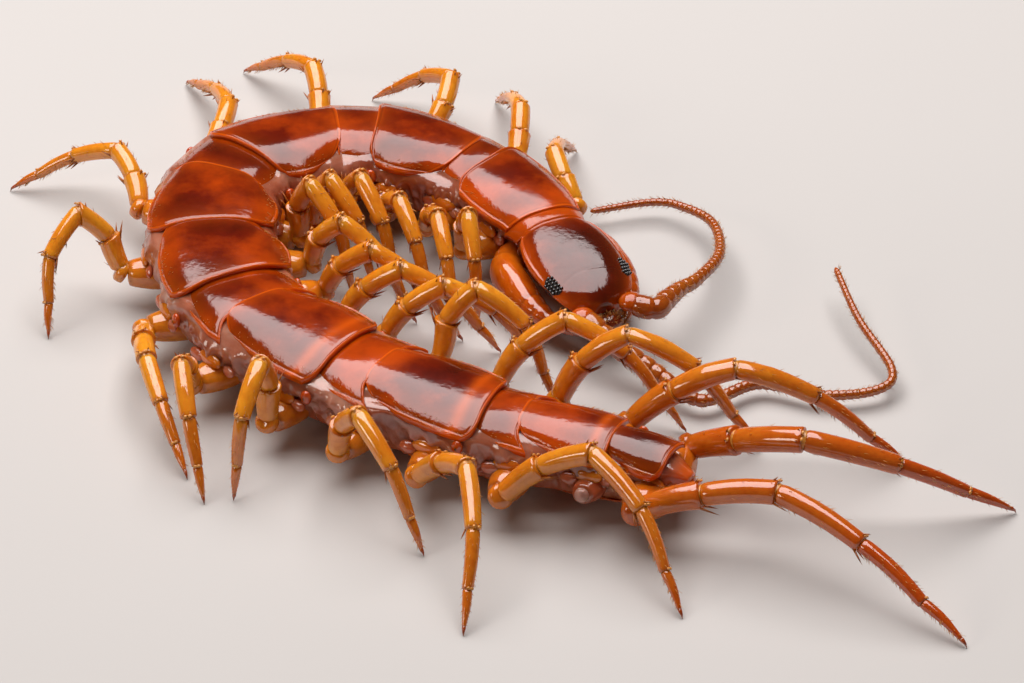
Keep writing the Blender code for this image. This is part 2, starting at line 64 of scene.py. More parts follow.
# No spine or hair rises over SPIKE_TOP, and knees over PRESS_FROM are pressed down,
# so that the model stays near the solids' top
SPIKE_TOP = CAD_BOX[1][2] / MM + 0.05
PRESS_FROM = 3.1
PRESS = 0.68

# The photograph's view: height over the ground, distance, and width of the view
CAMERA_CLIMB = math.radians(36)
CAMERA_DISTANCE = 200.0
VIEW_WIDTH = 1024 / 38
SENSOR = 36.0

# Body, as in the source
HEAD_FRONT = np.array((2.43, -0.58, 0.0))
HEAD_LENGTH = 3.3
COLLAR_LENGTH = 0.7
BACK_LENGTHS = (2.3, 0.9, 2.5, 1.2, 2.6, 1.35, 2.35, 2.5, 1.4, 2.95, 1.3, 3.05, 1.1, 2.3, 1.6)
TAIL_LENGTH = 0.7
BEARINGS = (115, 115, 125, 140, 155, 180, 205, 240, 265, 285, 300, 320, 325, 330, 340, 340, 335, 330)
POINTED_PLATES = (9, 11, 13)
SHORT_PLATE = 1.5
BODY_HALF = (1.25, 1.36, 1.48, 1.56, 1.64, 1.70, 1.78, 1.80, 1.76, 1.70, 1.62, 1.52, 1.38, 1.16, 0.86)
PLATE_HALF = (1.28, 1.22, 1.38, 1.40, 1.48, 1.56, 1.70, 1.74, 1.64, 1.60, 1.50, 1.42, 1.24, 1.08, 0.84)
BELLY_Z = 0.45
BACK_Z = 2.65
FRONT_SINK = 0.3
REAR_SINK = 0.5
HIGHEST_AT = 15.0

# Legs, as in the source
FIRST_HIP = 0.9
HIP_STEP = 2.05
LAST_HIP = 29.2
HIP_Z = 1.0
LAST_HIPS_RISE = 0.2
HIP_PROUD = 0.55
INNER_PROUD = 0.9
INNER_SEGMENTS = range(7, 14)
PODOMERES = (1.0, 1.1, 1.4, 1.2, 0.75)
LEG_SIZES = (0.85, 0.87, 0.9, 0.95, 0.95, 0.97, 1.0, 1.03, 1.05, 1.08, 1.15, 1.28, 1.4, 1.6, 1.8)
STOUTER_AFTER = 12
STOUTER_STEP = 0.06
BEND_SHARES = (0.0, 0.2, 0.78, 1.0, 1.0)
FOOT_Z = 0.2
# For each leg: where its foot stands, and how far its arch leans, in degrees
STANCES = {
    ("left", 1): (1.7, 8.6, -30), ("left", 2): (-0.4, 11.0, 20), ("left", 3): (-3.7, 11.2, 50),
    ("left", 4): (-7.3, 12.5, 35), ("left", 5): (-8.9, 11.9, 50), ("left", 6): (-13.4, 6.9, 50),
    ("left", 7): (-12.2, 0.2, 30), ("left", 8): (-8.4, -5.9, 20), ("left", 9): (-7.9, -7.0, 10),
    ("left", 10): (-7.1, -6.9, 0), ("left", 11): (-2.3, -9.2, 5), ("left", 12): (-1.2, -12.4, -25),
    ("left", 13): (4.2, -11.7, -30), ("left", 15): (11.2, -12.9, -35),
    ("right", 1): (-0.9, 0.75, 0), ("right", 2): (-1.5, 0.6, 0), ("right", 3): (-2.15, 1.3, 0),
    ("right", 4): (-3.05, 2.15, 0), ("right", 5): (-3.7, 2.3, 0), ("right", 6): (-4.25, 2.0, 0),
    ("right", 7): (-2.6, 0.8, 5), ("right", 8): (-1.4, 0.0, 5), ("right", 9): (-0.4, -0.55, 0),
    ("right", 10): (0.8, -1.2, 0), ("right", 11): (1.1, -2.95, -15), ("right", 12): (4.4, -4.0, -10),
    ("right", 13): (6.3, -4.8, -5), ("right", 14): (10.1, -5.6, 0), ("right", 15): (12.7, -7.5, 35),
}
LOST_LEG = ("left", 14)

# Forcipules and antennae, as in the source
FORCIPULE_PATH = ((0.2, 1.15, 0.95), (0.0, 1.3, 0.95), (-0.8, 1.38, 0.95), (-1.6, 1.36, 0.92),
                  (-2.3, 1.2, 0.88), (-2.9, 0.85, 0.8), (-3.35, 0.42, 0.72))
ANTENNA_RIGHT = ((1.93, -1.2, 1.57), (2.4, -1.6, 1.35), (2.95, -1.95, 1.05), (3.7, -2.35, 0.75),
                 (4.7, -3.2, 0.5), (5.35, -3.1, 0.45), (6.45, -2.45, 0.42), (8.05, -2.95, 0.42),
                 (9.5, -2.75, 0.45), (9.9, -2.0, 0.55), (9.1, -0.1, 0.8), (8.55, 1.95, 1.0))
ANTENNA_LEFT = ((3.2, -0.62, 1.65), (3.75, -0.75, 1.6), (4.05, -0.2, 1.5), (4.4, 0.4, 1.4), (4.9, 1.1, 1.25),
                (5.5, 2.6, 1.0), (5.35, 4.3, 0.8), (4.5, 5.3, 0.65), (3.7, 5.6, 0.55), (2.1, 5.25, 0.5))

# The body's own course: where each piece starts, and which way it runs
PIECE_LENGTHS = (HEAD_LENGTH, COLLAR_LENGTH, *BACK_LENGTHS, TAIL_LENGTH)


def heading(bearing, climb=0.0):
    """The unit vector of a bearing and a climb in degrees."""
    turn = math.radians(bearing)
    rise = math.radians(climb)
    return np.array((math.cos(turn) * math.cos(rise), math.sin(turn) * math.cos(rise), math.sin(rise)))


JOINTS = [HEAD_FRONT]
for piece_length, piece_bearing in zip(PIECE_LENGTHS, BEARINGS):
    JOINTS.append(JOINTS[-1] + heading(piece_bearing) * piece_length)
JOINTS = np.array(JOINTS)
JOINT_AT = [sum(PIECE_LENGTHS[:count]) - HEAD_LENGTH - COLLAR_LENGTH
            for count in range(len(PIECE_LENGTHS) + 1)]
PIECE_MIDDLES = [(near + far) / 2 for near, far in zip(JOINT_AT, JOINT_AT[1:])]
REAR_END = JOINT_AT[-1]


def unit(vector):
    return vector / np.linalg.norm(vector)


def blend(table, at):
    """The value at a place in a table of (place, value) pairs."""
    places, values = zip(*table)
    return float(np.interp(at, places, values))


def soft_blend(table, at, reach):
    """The table's value averaged round a place, so that its corners are rounded."""
    return sum(blend(table, at + reach * step) for step in (-1.0, -0.5, 0.0, 0.5, 1.0)) / 5


def bell(at, middle, reach):
    """A smooth bump of height 1 round a middle."""
    return math.exp(-((at - middle) / reach) ** 2)


def towards(first, second, angle):
    """The direction at an angle from a first direction towards a second."""
    return first * math.cos(angle) + second * math.sin(angle)


def distances(points):
    """How far along a path each of its points is."""
    return np.concatenate([[0.0], np.cumsum(np.linalg.norm(np.diff(points, axis=0), axis=1))])


def on_path(points, walked, places):
    """The points at given distances along a path."""
    return np.stack([np.interp(places, walked, points[:, axis]) for axis in range(3)], axis=-1)


def station_frame(station):
    """Centre, tailward and left directions of the body at a station."""
    centre = on_path(JOINTS, JOINT_AT, station)
    if station > REAR_END:
        centre = centre + heading(BEARINGS[-1]) * (station - REAR_END)
    if station < JOINT_AT[0]:
        centre = centre + heading(BEARINGS[0]) * (station - JOINT_AT[0])
    tailward = heading(float(np.interp(station, PIECE_MIDDLES, BEARINGS)))
    return centre, tailward, np.array((tailward[1], -tailward[0], 0.0))


def body_point(station, side, height):
    centre, _, left = station_frame(station)
    return centre + left * side + UP * height


def back_height(station):
    """Height of the back over a station."""
    if station < HIGHEST_AT:
        return BACK_Z - FRONT_SINK * (1.0 - station / HIGHEST_AT) ** 2
    return BACK_Z - REAR_SINK * ((station - HIGHEST_AT) / (REAR_END - HIGHEST_AT)) ** 2


def trunk_half(station):
    """Half width of the flesh at a station."""
    table = [(PIECE_MIDDLES[index + 2], half) for index, half in enumerate(BODY_HALF)]
    return blend([(JOINT_AT[1], 0.9), *table, (JOINT_AT[-2], 0.6), (REAR_END, 0.25)], station)


def hip_station(segment):
    return LAST_HIP if segment == 15 else FIRST_HIP + HIP_STEP * (segment - 1)


def stoutness(segment):
    return 1.0 + STOUTER_STEP * max(segment - STOUTER_AFTER, 0)


def hip_place(side, segment):
    """Where a leg leaves its coxa, and the direction out of the body there."""
    centre, _, left = station_frame(hip_station(segment))
    out = left * SIGNS[side]
    inner = side == "right" and segment in INNER_SEGMENTS
    reach = BODY_HALF[segment - 1] + (INNER_PROUD if inner else HIP_PROUD) * stoutness(segment)
    return centre + out * reach + UP * (HIP_Z + (LAST_HIPS_RISE if segment > 13 else 0.0)), out


def turned(vector, axis, angle):
    """A vector turned about a unit axis."""
    return (vector * math.cos(angle) + np.cross(axis, vector) * math.sin(angle)
            + axis * np.dot(axis, vector) * (1.0 - math.cos(angle)))


def arch(lengths, span):
    """Angles of a chain's lengths above its chord, bent evenly until the chain spans the chord."""
    straight = 0.0
    curled = math.radians(200)
    for _ in range(50):
        bend = (straight + curled) / 2
        along = sum(length * math.cos(bend * share) for length, share in zip(lengths, BEND_SHARES))
        fall = sum(length * math.sin(bend * share) for length, share in zip(lengths, BEND_SHARES))
        if math.hypot(along, fall) > span:
            straight = bend
        else:
            curled = bend
    start = math.atan2(fall, along)
    return [start - bend * share for share in BEND_SHARES]


def leg_points(side, segment):
    """Hip and the ends of the five podomeres, and the arch's own upright."""
    foot_x, foot_y, lean = STANCES[side, segment]
    hip, _ = hip_place(side, segment)
    foot = np.array((foot_x, foot_y, FOOT_Z))
    lengths = [length * LEG_SIZES[segment - 1] for length in PODOMERES]
    chord = unit(foot - hip)
    upright = turned(unit(UP - chord * chord[2]), chord, math.radians(lean))
    points = [hip]
    for length, angle in zip(lengths, arch(lengths, np.linalg.norm(foot - hip))):
        points.append(points[-1] + towards(chord, upright, angle) * length)
    return points, upright


# Mesh building


class Build:
    """Gathers the parts of one piece: points, faces, a tone for each point and a material for each face.

    A tone is (edge, warmth, shade): how near a rim a point is, how red, and how dark.
    """

    def __init__(self):
        self.points = []
        self.tones = []
        self.faces = []
        self.kinds = []
        self.roots = []

    def add(self, points, faces, tone=(0.0, 0.5, 0.0), kind=0, root=None):
        points = np.asarray(points, float).reshape(-1, 3)
        start = sum(len(block) for block in self.points)
        self.points.append(points)
        tone = np.asarray(tone, float)
        self.tones.append(np.broadcast_to(tone, (len(points), 3)) if tone.ndim == 1 else tone)
        self.faces.extend([tuple(corner + start for corner in face) for face in faces])
        self.kinds.extend([kind] * len(faces))
        self.roots.extend([root] * len(faces))

    def add_sheet(self, grid, upper, lower, tones):
        """Adds a closed sheet between two grids of points, with the same tones on both."""
        tones = np.broadcast_to(np.asarray(tones, float), (grid[0] * grid[1], 3))
        self.add(np.vstack([upper, lower]), shell_faces(*grid), np.vstack([tones, tones]))

    def finish(self, name, materials, replaces=()):
        """Makes the object, smooth, riding on the body, with its materials."""
        points = np.vstack(self.points) - ORIGIN
        high = points[:, 2] > PRESS_FROM
        points[high, 2] = PRESS_FROM + (points[high, 2] - PRESS_FROM) * PRESS
        points *= MM
        mesh = bpy.data.meshes.new(name)
        mesh.from_pydata(points.tolist(), [], self.faces)
        for look in materials:
            mesh.materials.append(look)
        mesh.polygons.foreach_set("material_index", self.kinds)
        mesh.shade_smooth()
        tones = mesh.color_attributes.new("tone", "FLOAT_COLOR", "POINT")
        colours = np.hstack([np.vstack(self.tones), np.ones((len(points), 1))])
        tones.data.foreach_set("color", colours.astype(np.float32).ravel())
        if self.roots and self.roots[0] is not None:
            self.add_bake_map(mesh)
        obj = bpy.data.objects.new(name, mesh)
        bpy.context.scene.collection.objects.link(obj)
        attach(obj, "root")
        if replaces:
            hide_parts(*replaces)
        return obj

    def add_bake_map(self, mesh):
        """A patch for each hair at its root's place on an unwrap of the body."""
        layer = mesh.uv_layers.new(name="OFBake")
        patch = 0.003
        uvs = []
        for face, root in zip(self.faces, self.roots):
            for corner in range(len(face)):
                turn = 2 * math.pi * corner / len(face)
                uvs.append(root[0] + patch * 0.5 * (1 + math.cos(turn)))
                uvs.append(root[1] + patch * 0.5 * (1 + math.sin(turn)))
        layer.data.foreach_set("uv", uvs)


def grid_faces(rows, columns, closed=False):
    """Quads over a grid of points laid row after row; closed joins the last column to the first."""
    faces = []
    for row in range(rows - 1):
        for column in range(columns if closed else columns - 1):
            after = (column + 1) % columns
            faces.append((row * columns + column, row * columns + after,
                          (row + 1) * columns + after, (row + 1) * columns + column))
    return faces


def shell_faces(rows, columns):
    """Faces of a closed sheet: an upper grid, the lower grid laid after it, and the wall round both."""
    count = rows * columns
    upper = [face[::-1] for face in grid_faces(rows, columns)]
    lower = [tuple(corner + count for corner in face[::-1]) for face in upper]
    loop = list(range(columns)) + [row * columns + columns - 1 for row in range(1, rows)]
    loop += [(rows - 1) * columns + column for column in range(columns - 2, -1, -1)]
    loop += [row * columns for row in range(rows - 2, 0, -1)]
    wall = [(near, far, far + count, near + count) for near, far in zip(loop, loop[1:] + loop[:1])]
    return upper + lower + wall


def tube_frames(points):
    """Direction and two cross directions at each point of a path, without twist."""
    points = np.asarray(points, float)
    ways = np.gradient(points, axis=0)
    ways /= np.linalg.norm(ways, axis=1)[:, None]
    across = np.cross(ways[0], UP)
    if np.linalg.norm(across) < 0.1:
        across = np.array((1.0, 0.0, 0.0))
    across = unit(across)
    frames = []
    for way in ways:
        across = unit(across - way * np.dot(across, way))
        frames.append((way, across, np.cross(way, across)))
    return frames


def tube(points, radii, sides=16, flat=1.0, frames=None):
    """Points and faces of a closed tube; flat squeezes its second cross direction."""
    frames = frames or tube_frames(points)
    turns = 2 * math.pi * np.arange(sides) / sides
    rings = []
    for point, radius, (_, across, other) in zip(points, radii, frames):
        ring = np.outer(np.cos(turns), across) + np.outer(np.sin(turns), other) * flat
        rings.append(np.asarray(point) + ring * radius)
    faces = grid_faces(len(rings), sides, closed=True)
    faces.append(tuple(range(sides))[::-1])
    last = (len(rings) - 1) * sides
    faces.append(tuple(range(last, last + sides)))
    return np.vstack(rings), [face[::-1] for face in faces]


def ball(centre, size, axes, rows=8, sides=12):
    """Points and faces of a ball stretched along three axes."""
    points = []
    for row in range(rows + 1):
        tilt = math.pi * (row + 0.02) / (rows + 0.04)
        for side in range(sides):
            turn = 2 * math.pi * side / sides
            local = (math.sin(tilt) * math.cos(turn), math.sin(tilt) * math.sin(turn), math.cos(tilt))
            points.append(centre + sum(axis * reach * part for axis, reach, part in zip(axes, size, local)))
    faces = grid_faces(rows + 1, sides, closed=True)
    faces.append(tuple(range(sides))[::-1])
    faces.append(tuple(range(rows * sides, (rows + 1) * sides)))
    return points, faces


def spike(build, root, way, length, radius, sides=3, patch=None):
    """A tapered spine or hair. patch is its root's place on the unwrap of the body."""
    way = unit(way)
    tip = root + way * length
    if tip[2] > SPIKE_TOP:
        return
    across = unit(np.cross(way, UP if abs(way[2]) < 0.9 else np.array((1.0, 0.0, 0.0))))
    other = np.cross(way, across)
    points = []
    for centre, thick in ((root - way * radius, radius), (root + way * length * 0.55, radius * 0.62)):
        for side in range(sides):
            points.append(centre + towards(across, other, 2 * math.pi * side / sides) * thick)
    points.append(tip)
    faces = [tuple(range(sides))[::-1]]
    for side in range(sides):
        after = (side + 1) % sides
        faces.append((side, after, sides + after, sides + side))
        faces.append((sides + side, sides + after, 2 * sides))
    build.add(points, faces, (0.0, 0.0, 0.0), root=patch)


# Materials


class Nodes:
    """A short way to write a material's nodes."""

    def __init__(self, name):
        self.look = bpy.data.materials.new(name)
        self.look.use_nodes = True
        self.tree = self.look.node_tree
        self.shader = self.tree.nodes["Principled BSDF"]

    def node(self, kind, inputs=None, **settings):
        made = self.tree.nodes.new(kind)
        for key, value in settings.items():
            setattr(made, key, value)
        for key, value in (inputs or {}).items():
            self.feed(made.inputs[key], value)
        return made

    def link(self, source, target):
        self.tree.links.new(source, target)

    def feed(self, socket, value):
        """Links a socket to the output it is fed by, or sets its value."""
        if isinstance(value, bpy.types.NodeSocket):
            self.link(value, socket)
        else:
            socket.default_value = value

    def set(self, **values):
        """Feeds the shader's own sockets; an underscore stands for a space in a socket's name."""
        for key, value in values.items():
            self.feed(self.shader.inputs[key.replace("_", " ")], value)

    def noise(self, scale, detail=4.0, rough=0.55):
        """Noise in the object's own metres; scale counts features over a metre."""
        where = self.node("ShaderNodeTexCoord").outputs["Object"]
        inputs = {"Scale": scale, "Detail": detail, "Roughness": rough, "Vector": where}
        return self.node("ShaderNodeTexNoise", inputs).outputs["Fac"]

    def tone(self, channel):
        colour = self.node("ShaderNodeAttribute", attribute_name="tone").outputs["Color"]
        return self.node("ShaderNodeSeparateColor", {"Color": colour}).outputs[channel]

    def ramp(self, source, *stops):
        """A colour ramp through (place, colour) stops."""
        made = self.node("ShaderNodeValToRGB", {"Fac": source})
        cells = made.color_ramp.elements
        while len(cells) < len(stops):
            cells.new(0.5)
        for cell, (place, colour) in zip(cells, stops):
            cell.position = place
            cell.color = (*colour, 1.0)
        return made.outputs["Color"]

    def mix(self, factor, first, second, mode="MIX"):
        made = self.node("ShaderNodeMix", data_type="RGBA", blend_type=mode)
        for key, value in (("Factor", factor), ("A", first), ("B", second)):
            socket = [entry for entry in made.inputs if entry.name == key and entry.enabled][0]
            self.feed(socket, (*value, 1.0) if isinstance(value, tuple) else value)
        return [entry for entry in made.outputs if entry.enabled][0]

    def math(self, operation, *values):
        made = self.node("ShaderNodeMath", operation=operation)
        for socket, value in zip(made.inputs, values):
            self.feed(socket, value)
        return made.outputs["Value"]

    def thinning_coat(self, least=0.2):
        """A clear coat whose gloss thins towards grazing angles."""
        facing = self.node("ShaderNodeLayerWeight").outputs["Facing"]
        self.set(Coat_Weight=self.math("MULTIPLY_ADD", self.math("POWER", facing, 2.0), least - 1.0, 1.0))

    def colour(self, socket):
        self.set(Base_Color=socket)

    def relief(self, *layers):
        """Stacks (height, distance, strength) bumps into the normal."""
        above = None
        for height, distance, strength in layers:
            made = self.node("ShaderNodeBump", {"Strength": strength, "Distance": distance, "Height": height})
            if above is not None:
                self.link(above, made.inputs["Normal"])
            above = made.outputs["Normal"]
        self.set(Normal=above, Coat_Normal=above)


def plate_look():
    """Deep glossy mahogany, orange and clearer towards the rims."""
    look = Nodes("plate_cuticle")
    cloud = look.noise(420, detail=5.0)
    deep = look.ramp(cloud, (0.36, (0.045, 0.0015, 0.0002)), (0.5, (0.12, 0.006, 0.0003)),
                     (0.68, (0.42, 0.045, 0.001)))
    rim = look.mix(look.tone("Red"), deep, (0.8, 0.12, 0.003))
    warm = look.mix(look.tone("Green"), rim, (0.68, 0.13, 0.004))
    look.colour(look.mix(look.tone("Blue"), warm, (0.03, 0.004, 0.002)))
    rough = look.noise(1500, detail=3.0)
    look.set(Roughness=look.math("MULTIPLY_ADD", rough, 0.16, 0.1))
    wrinkles = look.noise(900, detail=6.0, rough=0.6)
    pits = look.noise(7000, detail=2.0)
    sideways = look.math("MINIMUM", look.math("MULTIPLY_ADD", look.tone("Green"), 28.0, 0.7), 3.0)
    look.relief((look.math("MULTIPLY", wrinkles, sideways), 0.00005, 0.35), (pits, 0.000006, 0.3))
    look.set(IOR=1.5, Specular_IOR_Level=0.06, Coat_Roughness=0.03, Coat_IOR=1.57)
    look.thinning_coat()
    look.set(Subsurface_Weight=0.12, Subsurface_Scale=0.0004, Subsurface_Radius=(1.0, 0.2, 0.05))
    return look.look


def amber_look(name, pale, mid, red):
    """Clear amber cuticle of the legs: pale in the middle, redder and darker at the ends."""
    look = Nodes(name)
    cloud = look.noise(700, detail=5.0)
    base = look.ramp(cloud, (0.3, mid), (0.65, pale))
    warm = look.mix(look.tone("Green"), base, red)
    rim = look.mix(look.tone("Red"), warm, (0.45, 0.07, 0.003))
    grain = look.ramp(look.noise(5200, detail=3.0), (0.35, (0.8, 0.62, 0.5)), (0.55, (1.0, 1.0, 1.0)))
    tinted = look.mix(0.45, rim, grain, "MULTIPLY")
    look.colour(look.mix(look.tone("Blue"), tinted, (0.05, 0.012, 0.004)))
    look.set(Roughness=look.math("MULTIPLY_ADD", look.noise(2600), 0.16, 0.08))
    look.relief((look.noise(1500, detail=4.0), 0.00002, 0.35), (look.noise(9000, detail=2.0), 0.000004, 0.3))
    look.set(IOR=1.5, Specular_IOR_Level=0.1, Coat_Roughness=0.05, Coat_IOR=1.75)
    look.thinning_coat()
    look.set(Subsurface_Weight=0.3, Subsurface_Scale=0.0004, Subsurface_Radius=(0.7, 0.4, 0.1))
    return look.look


def skin_look():
    """The thin pinkish skin between the plates and round the hips, folded and wet-looking."""
    look = Nodes("pleural_skin")
    cloud = look.noise(650, detail=5.0)
    base = look.ramp(cloud, (0.3, (0.26, 0.055, 0.022)), (0.5, (0.38, 0.12, 0.065)),
                     (0.72, (0.57, 0.29, 0.2)))
    warm = look.mix(look.tone("Green"), base, (0.55, 0.09, 0.008))
    look.colour(look.mix(look.tone("Blue"), warm, (0.09, 0.02, 0.008)))
    where = look.node("ShaderNodeTexCoord").outputs["Object"]
    inputs = {"Scale": 320, "Distortion": 9.0, "Detail": 3.0, "Vector": where}
    folds = look.node("ShaderNodeTexWave", inputs, wave_type="BANDS", bands_direction="DIAGONAL")
    look.relief((folds.outputs["Fac"], 0.00014, 0.8), (look.noise(3200, detail=5.0), 0.00003, 0.5))
    look.set(Roughness=0.22, IOR=1.45, Specular_IOR_Level=0.2, Coat_Roughness=0.05, Coat_IOR=1.7)
    look.thinning_coat()
    look.set(Subsurface_Weight=0.5, Subsurface_Scale=0.0006, Subsurface_Radius=(1.0, 0.45, 0.3))
    return look.look


def plain_look(name, colour, roughness, coat=0.0, subsurface=0.0):
    """A simple finish with a fine grain."""
    look = Nodes(name)
    shade = tuple(part * 0.62 for part in colour)
    look.colour(look.ramp(look.noise(3000, detail=4.0), (0.35, shade), (0.65, colour)))
    look.relief((look.noise(8000, detail=3.0), 0.000004, 0.3))
    look.set(Roughness=roughness, Coat_Weight=coat, Coat_Roughness=0.05)
    look.set(Subsurface_Weight=subsurface, Subsurface_Scale=0.0003)
    return look.look


PLATE = plate_look()
LEG = amber_look("leg_cuticle", (0.88, 0.36, 0.02), (0.74, 0.22, 0.008), (0.48, 0.06, 0.003))
CLAW = amber_look("forcipule_cuticle", (0.74, 0.19, 0.006), (0.55, 0.09, 0.003), (0.36, 0.02, 0.001))
FEELER = amber_look("antenna_cuticle", (0.4, 0.11, 0.008), (0.22, 0.035, 0.003), (0.42, 0.075, 0.004))
SKIN = skin_look()
SPINE = plain_look("spine", (0.46, 0.13, 0.014), 0.3)
HAIR = plain_look("hair", (0.72, 0.32, 0.07), 0.4)
SCAR = plain_look("scar_skin", (0.75, 0.42, 0.33), 0.25, coat=0.6, subsurface=0.3)
EYE = plain_look("ocellus", (0.006, 0.004, 0.004), 0.08, coat=1.0)
EYE_GROUND = plain_look("eye_ground", (0.004, 0.002, 0.002), 0.6)
JOINT_SKIN = plain_look("joint_skin", (0.8, 0.33, 0.05), 0.3, coat=0.4)


# Skin


FLANK_SHAPE = ((0.0, 0.03, 0.1, 0.2, 0.32, 0.44, 0.56, 0.68, 0.8, 0.9, 1.0, 1.08),
               (0.5, 0.55, 0.66, 0.73, 0.79, 0.86, 0.93, 0.97, 1.0, 0.98, 0.92, 0.84))
FLANK_RISES = np.linspace(0.02, 1.08, 26)
SKIN_RINGS = 520


def skin_section(station):
    """Ring of (side, height) pairs of the flesh, clockwise from the middle of the belly on the left."""
    half = trunk_half(station) - 0.04
    low = BELLY_Z + 0.03
    if station > LAST_HIP:
        low += 0.25 * (station - LAST_HIP) / (REAR_END - LAST_HIP)
    top = back_height(max(min(station, REAR_END), -0.7)) - 0.16
    close = min(max((station - JOINT_AT[-2] + 0.5) / (REAR_END - JOINT_AT[-2] + 0.5), 0.0), 1.0)
    top -= (top - 1.62) * close ** 1.6
    low += (1.02 - low) * close ** 1.6
    deep = top - 0.35 * (1.0 - 0.7 * close) - low
    phase = (station - FIRST_HIP) / HIP_STEP
    bulge = 0.07 * math.cos(2 * math.pi * phase)
    pairs = []
    for out in (0.0, 0.25, 0.5):
        pairs.append((half * out, low))
    for rise in FLANK_RISES:
        out = float(np.interp(rise, *FLANK_SHAPE))
        bend = math.sin(math.pi * min(rise, 1.0))
        wander = 0.5 * math.sin(1.7 * station + 5.0 * rise)
        fold = 0.075 * (1.0 - 2.0 * abs(math.sin(5.1 * station + 3.5 * rise + 2.0 * wander)) ** 0.6)
        crease = 0.05 * (1.0 - 2.0 * abs(math.sin(8.3 * station - 5.0 * rise - 3.0 * wander)) ** 0.7)
        side = half * out + (bulge + fold + crease) * bend
        pairs.append((side, low + deep * rise))
    pairs.append((half * 0.5, top - 0.06 * (1.0 - 0.6 * close)))
    pairs.append((0.0, top))
    return pairs + [(-side, height) for side, height in reversed(pairs[1:-1])]


def make_skin():
    """One skin from the neck to the tail, under the plates and round the hips."""
    build = Build()
    stations = np.linspace(JOINT_AT[1] + 0.1, REAR_END - 0.05, SKIN_RINGS)
    points = []
    tones = []
    for station in stations:
        centre, _, left = station_frame(station)
        joint_near = min(abs(station - joint) for joint in JOINT_AT[2:-1])
        for side, height in skin_section(station):
            points.append(centre + left * side + UP * height)
            rise = (height - BELLY_Z) / (back_height(max(station, 0.0)) - BELLY_Z)
            warm = max(0.0, 0.75 - 1.6 * rise, min(1.0, 2.5 * (station - JOINT_AT[-2])))
            tones.append((0.0, warm, 0.25 * max(0.0, 1.0 - joint_near / 0.15) * (rise < 0.75)))
    count = len(skin_section(0.0))
    faces = [face[::-1] for face in grid_faces(len(stations), count, closed=True)]
    faces.append(tuple(range(count)))
    last = (len(stations) - 1) * count
    faces.append(tuple(range(last, last + count))[::-1])
    build.add(points, faces, np.array(tones))
    nodes = ["forcipular_segment", *[f"trunk_{segment:02d}" for segment in range(1, 16)], "tail"]
    return build.finish("skin", [SKIN], nodes)


# Back plates

# Rows and columns of points on a plate, and its thickness
PLATE_GRID = (50, 64)
PLATE_THICK = 0.13
COLLAR_GRID = (10, 36)
COLLAR_THICK = 0.08
BELLY_GRID = (8, 12)
BELLY_THICK = 0.06
# Long plates with a pale band before their rear edge
BANDED_PLATES = (10, 12, 14)


def plate_outline(segment):
    """Front and rear edge of a plate over its width, from -1 to 1, and its half width over its length."""
    short = BACK_LENGTHS[segment - 1] < SHORT_PLATE
    pointed = segment in POINTED_PLATES
    corner = 0.1 if short else 0.36
    rounding = 0.1 if short or segment == 1 else 0.72

    def rear(across):
        if pointed:
            return 0.04 + 0.34 * max(0.0, abs(across) - 0.62) ** 1.6 / 0.38 ** 1.6
        return 0.12 - corner * abs(across) ** 8 - 0.12 * (1 - across * across)

    def front(across):
        return 0.03 + rounding * abs(across) ** 5

    def width(fraction):
        if short:
            return 0.93 + (0.05 if pointed else -0.04) * fraction
        return soft_blend(((0.0, 0.82), (0.15, 0.93), (0.45, 1.0), (0.8, 1.02), (1.0, 0.97)), fraction, 0.15)

    return front, rear, width


def spread(count, ends):
    """Places from 0 to 1, closer together at both ends."""
    even = np.linspace(-1, 1, count)
    return (np.sign(even) * (1 - (1 - np.abs(even)) ** ends) + 1) / 2


def plate_grid(rows, columns, row_ends=1.7, column_ends=1.7):
    """(row, across) pairs over a plate, closer together near its edges; across runs from -1 to 1."""
    places = spread(columns, column_ends) * 2 - 1
    return [(row, across) for row in spread(rows, row_ends) for across in places]


def plate_rise(across, inset):
    """Height of a plate under its crown, with the raised rim and the groove beside it."""
    fall = -0.05 * across ** 2 - 0.36 * abs(across) ** 3.4
    rim = 0.03 * bell(inset, 0.035, 0.022) - 0.022 * bell(inset, 0.085, 0.02)
    return fall + rim


def plate_surface(segment):
    """A function that gives a place on a plate and its distance to the edge.

    It takes row, from 0 at the front to 1 at the rear, and across, from -1 to 1.
    """
    index = segment + 1
    start, end = JOINT_AT[index], JOINT_AT[index + 1]
    front, rear, width = plate_outline(segment)
    short = BACK_LENGTHS[segment - 1] < SHORT_PLATE
    start -= (0.0 if short else 0.12) + (0.22 if segment == 1 else 0.0)
    end += 0.02 if short else 0.1
    proud = -0.05 if short else 0.035
    skew = random.Random(segment).uniform(-0.02, 0.02)

    def surface(row, across):
        first = start + front(across)
        last = end + rear(across)
        station = first + (last - first) * row
        half = PLATE_HALF[segment - 1] * width(row) * (1.0 + skew * across)
        inset = min((1 - abs(across)) * half, (last - first) * (1 - row))
        lift = (0.06 * row - 0.03 if short else 0.02 * row) + 0.03 * math.sin(math.pi * row)
        height = back_height(min(station, REAR_END)) - 0.04 + plate_rise(across, inset) + lift + proud
        return body_point(station, across * half, height), min(inset, (last - first) * row)

    return surface


def make_plate(segment):
    """One raised back plate with a rim. A long plate lies over both of its neighbours."""
    surface = plate_surface(segment)
    tops, tones = [], []
    for row, across in plate_grid(*PLATE_GRID):
        point, near = surface(row, across)
        tops.append(point)
        edge = 0.45 * math.exp(-near / 0.05) + 0.3 * math.exp(-near / 0.35)
        if segment in BANDED_PLATES:
            edge += 0.45 * bell(row, 0.84, 0.05)
        # The shade tone darkens the groove beside the rim: painted shade in the groove, on top of the
        # groove's real depth.
        tones.append((min(edge, 1.0), 0.1 * abs(across) ** 3, 0.35 * bell(near, 0.085, 0.02)))
    build = Build()
    build.add_sheet(PLATE_GRID, tops, np.array(tops) - UP * PLATE_THICK, tones)
    return build.finish(f"tergite_{segment:02d}", [PLATE])


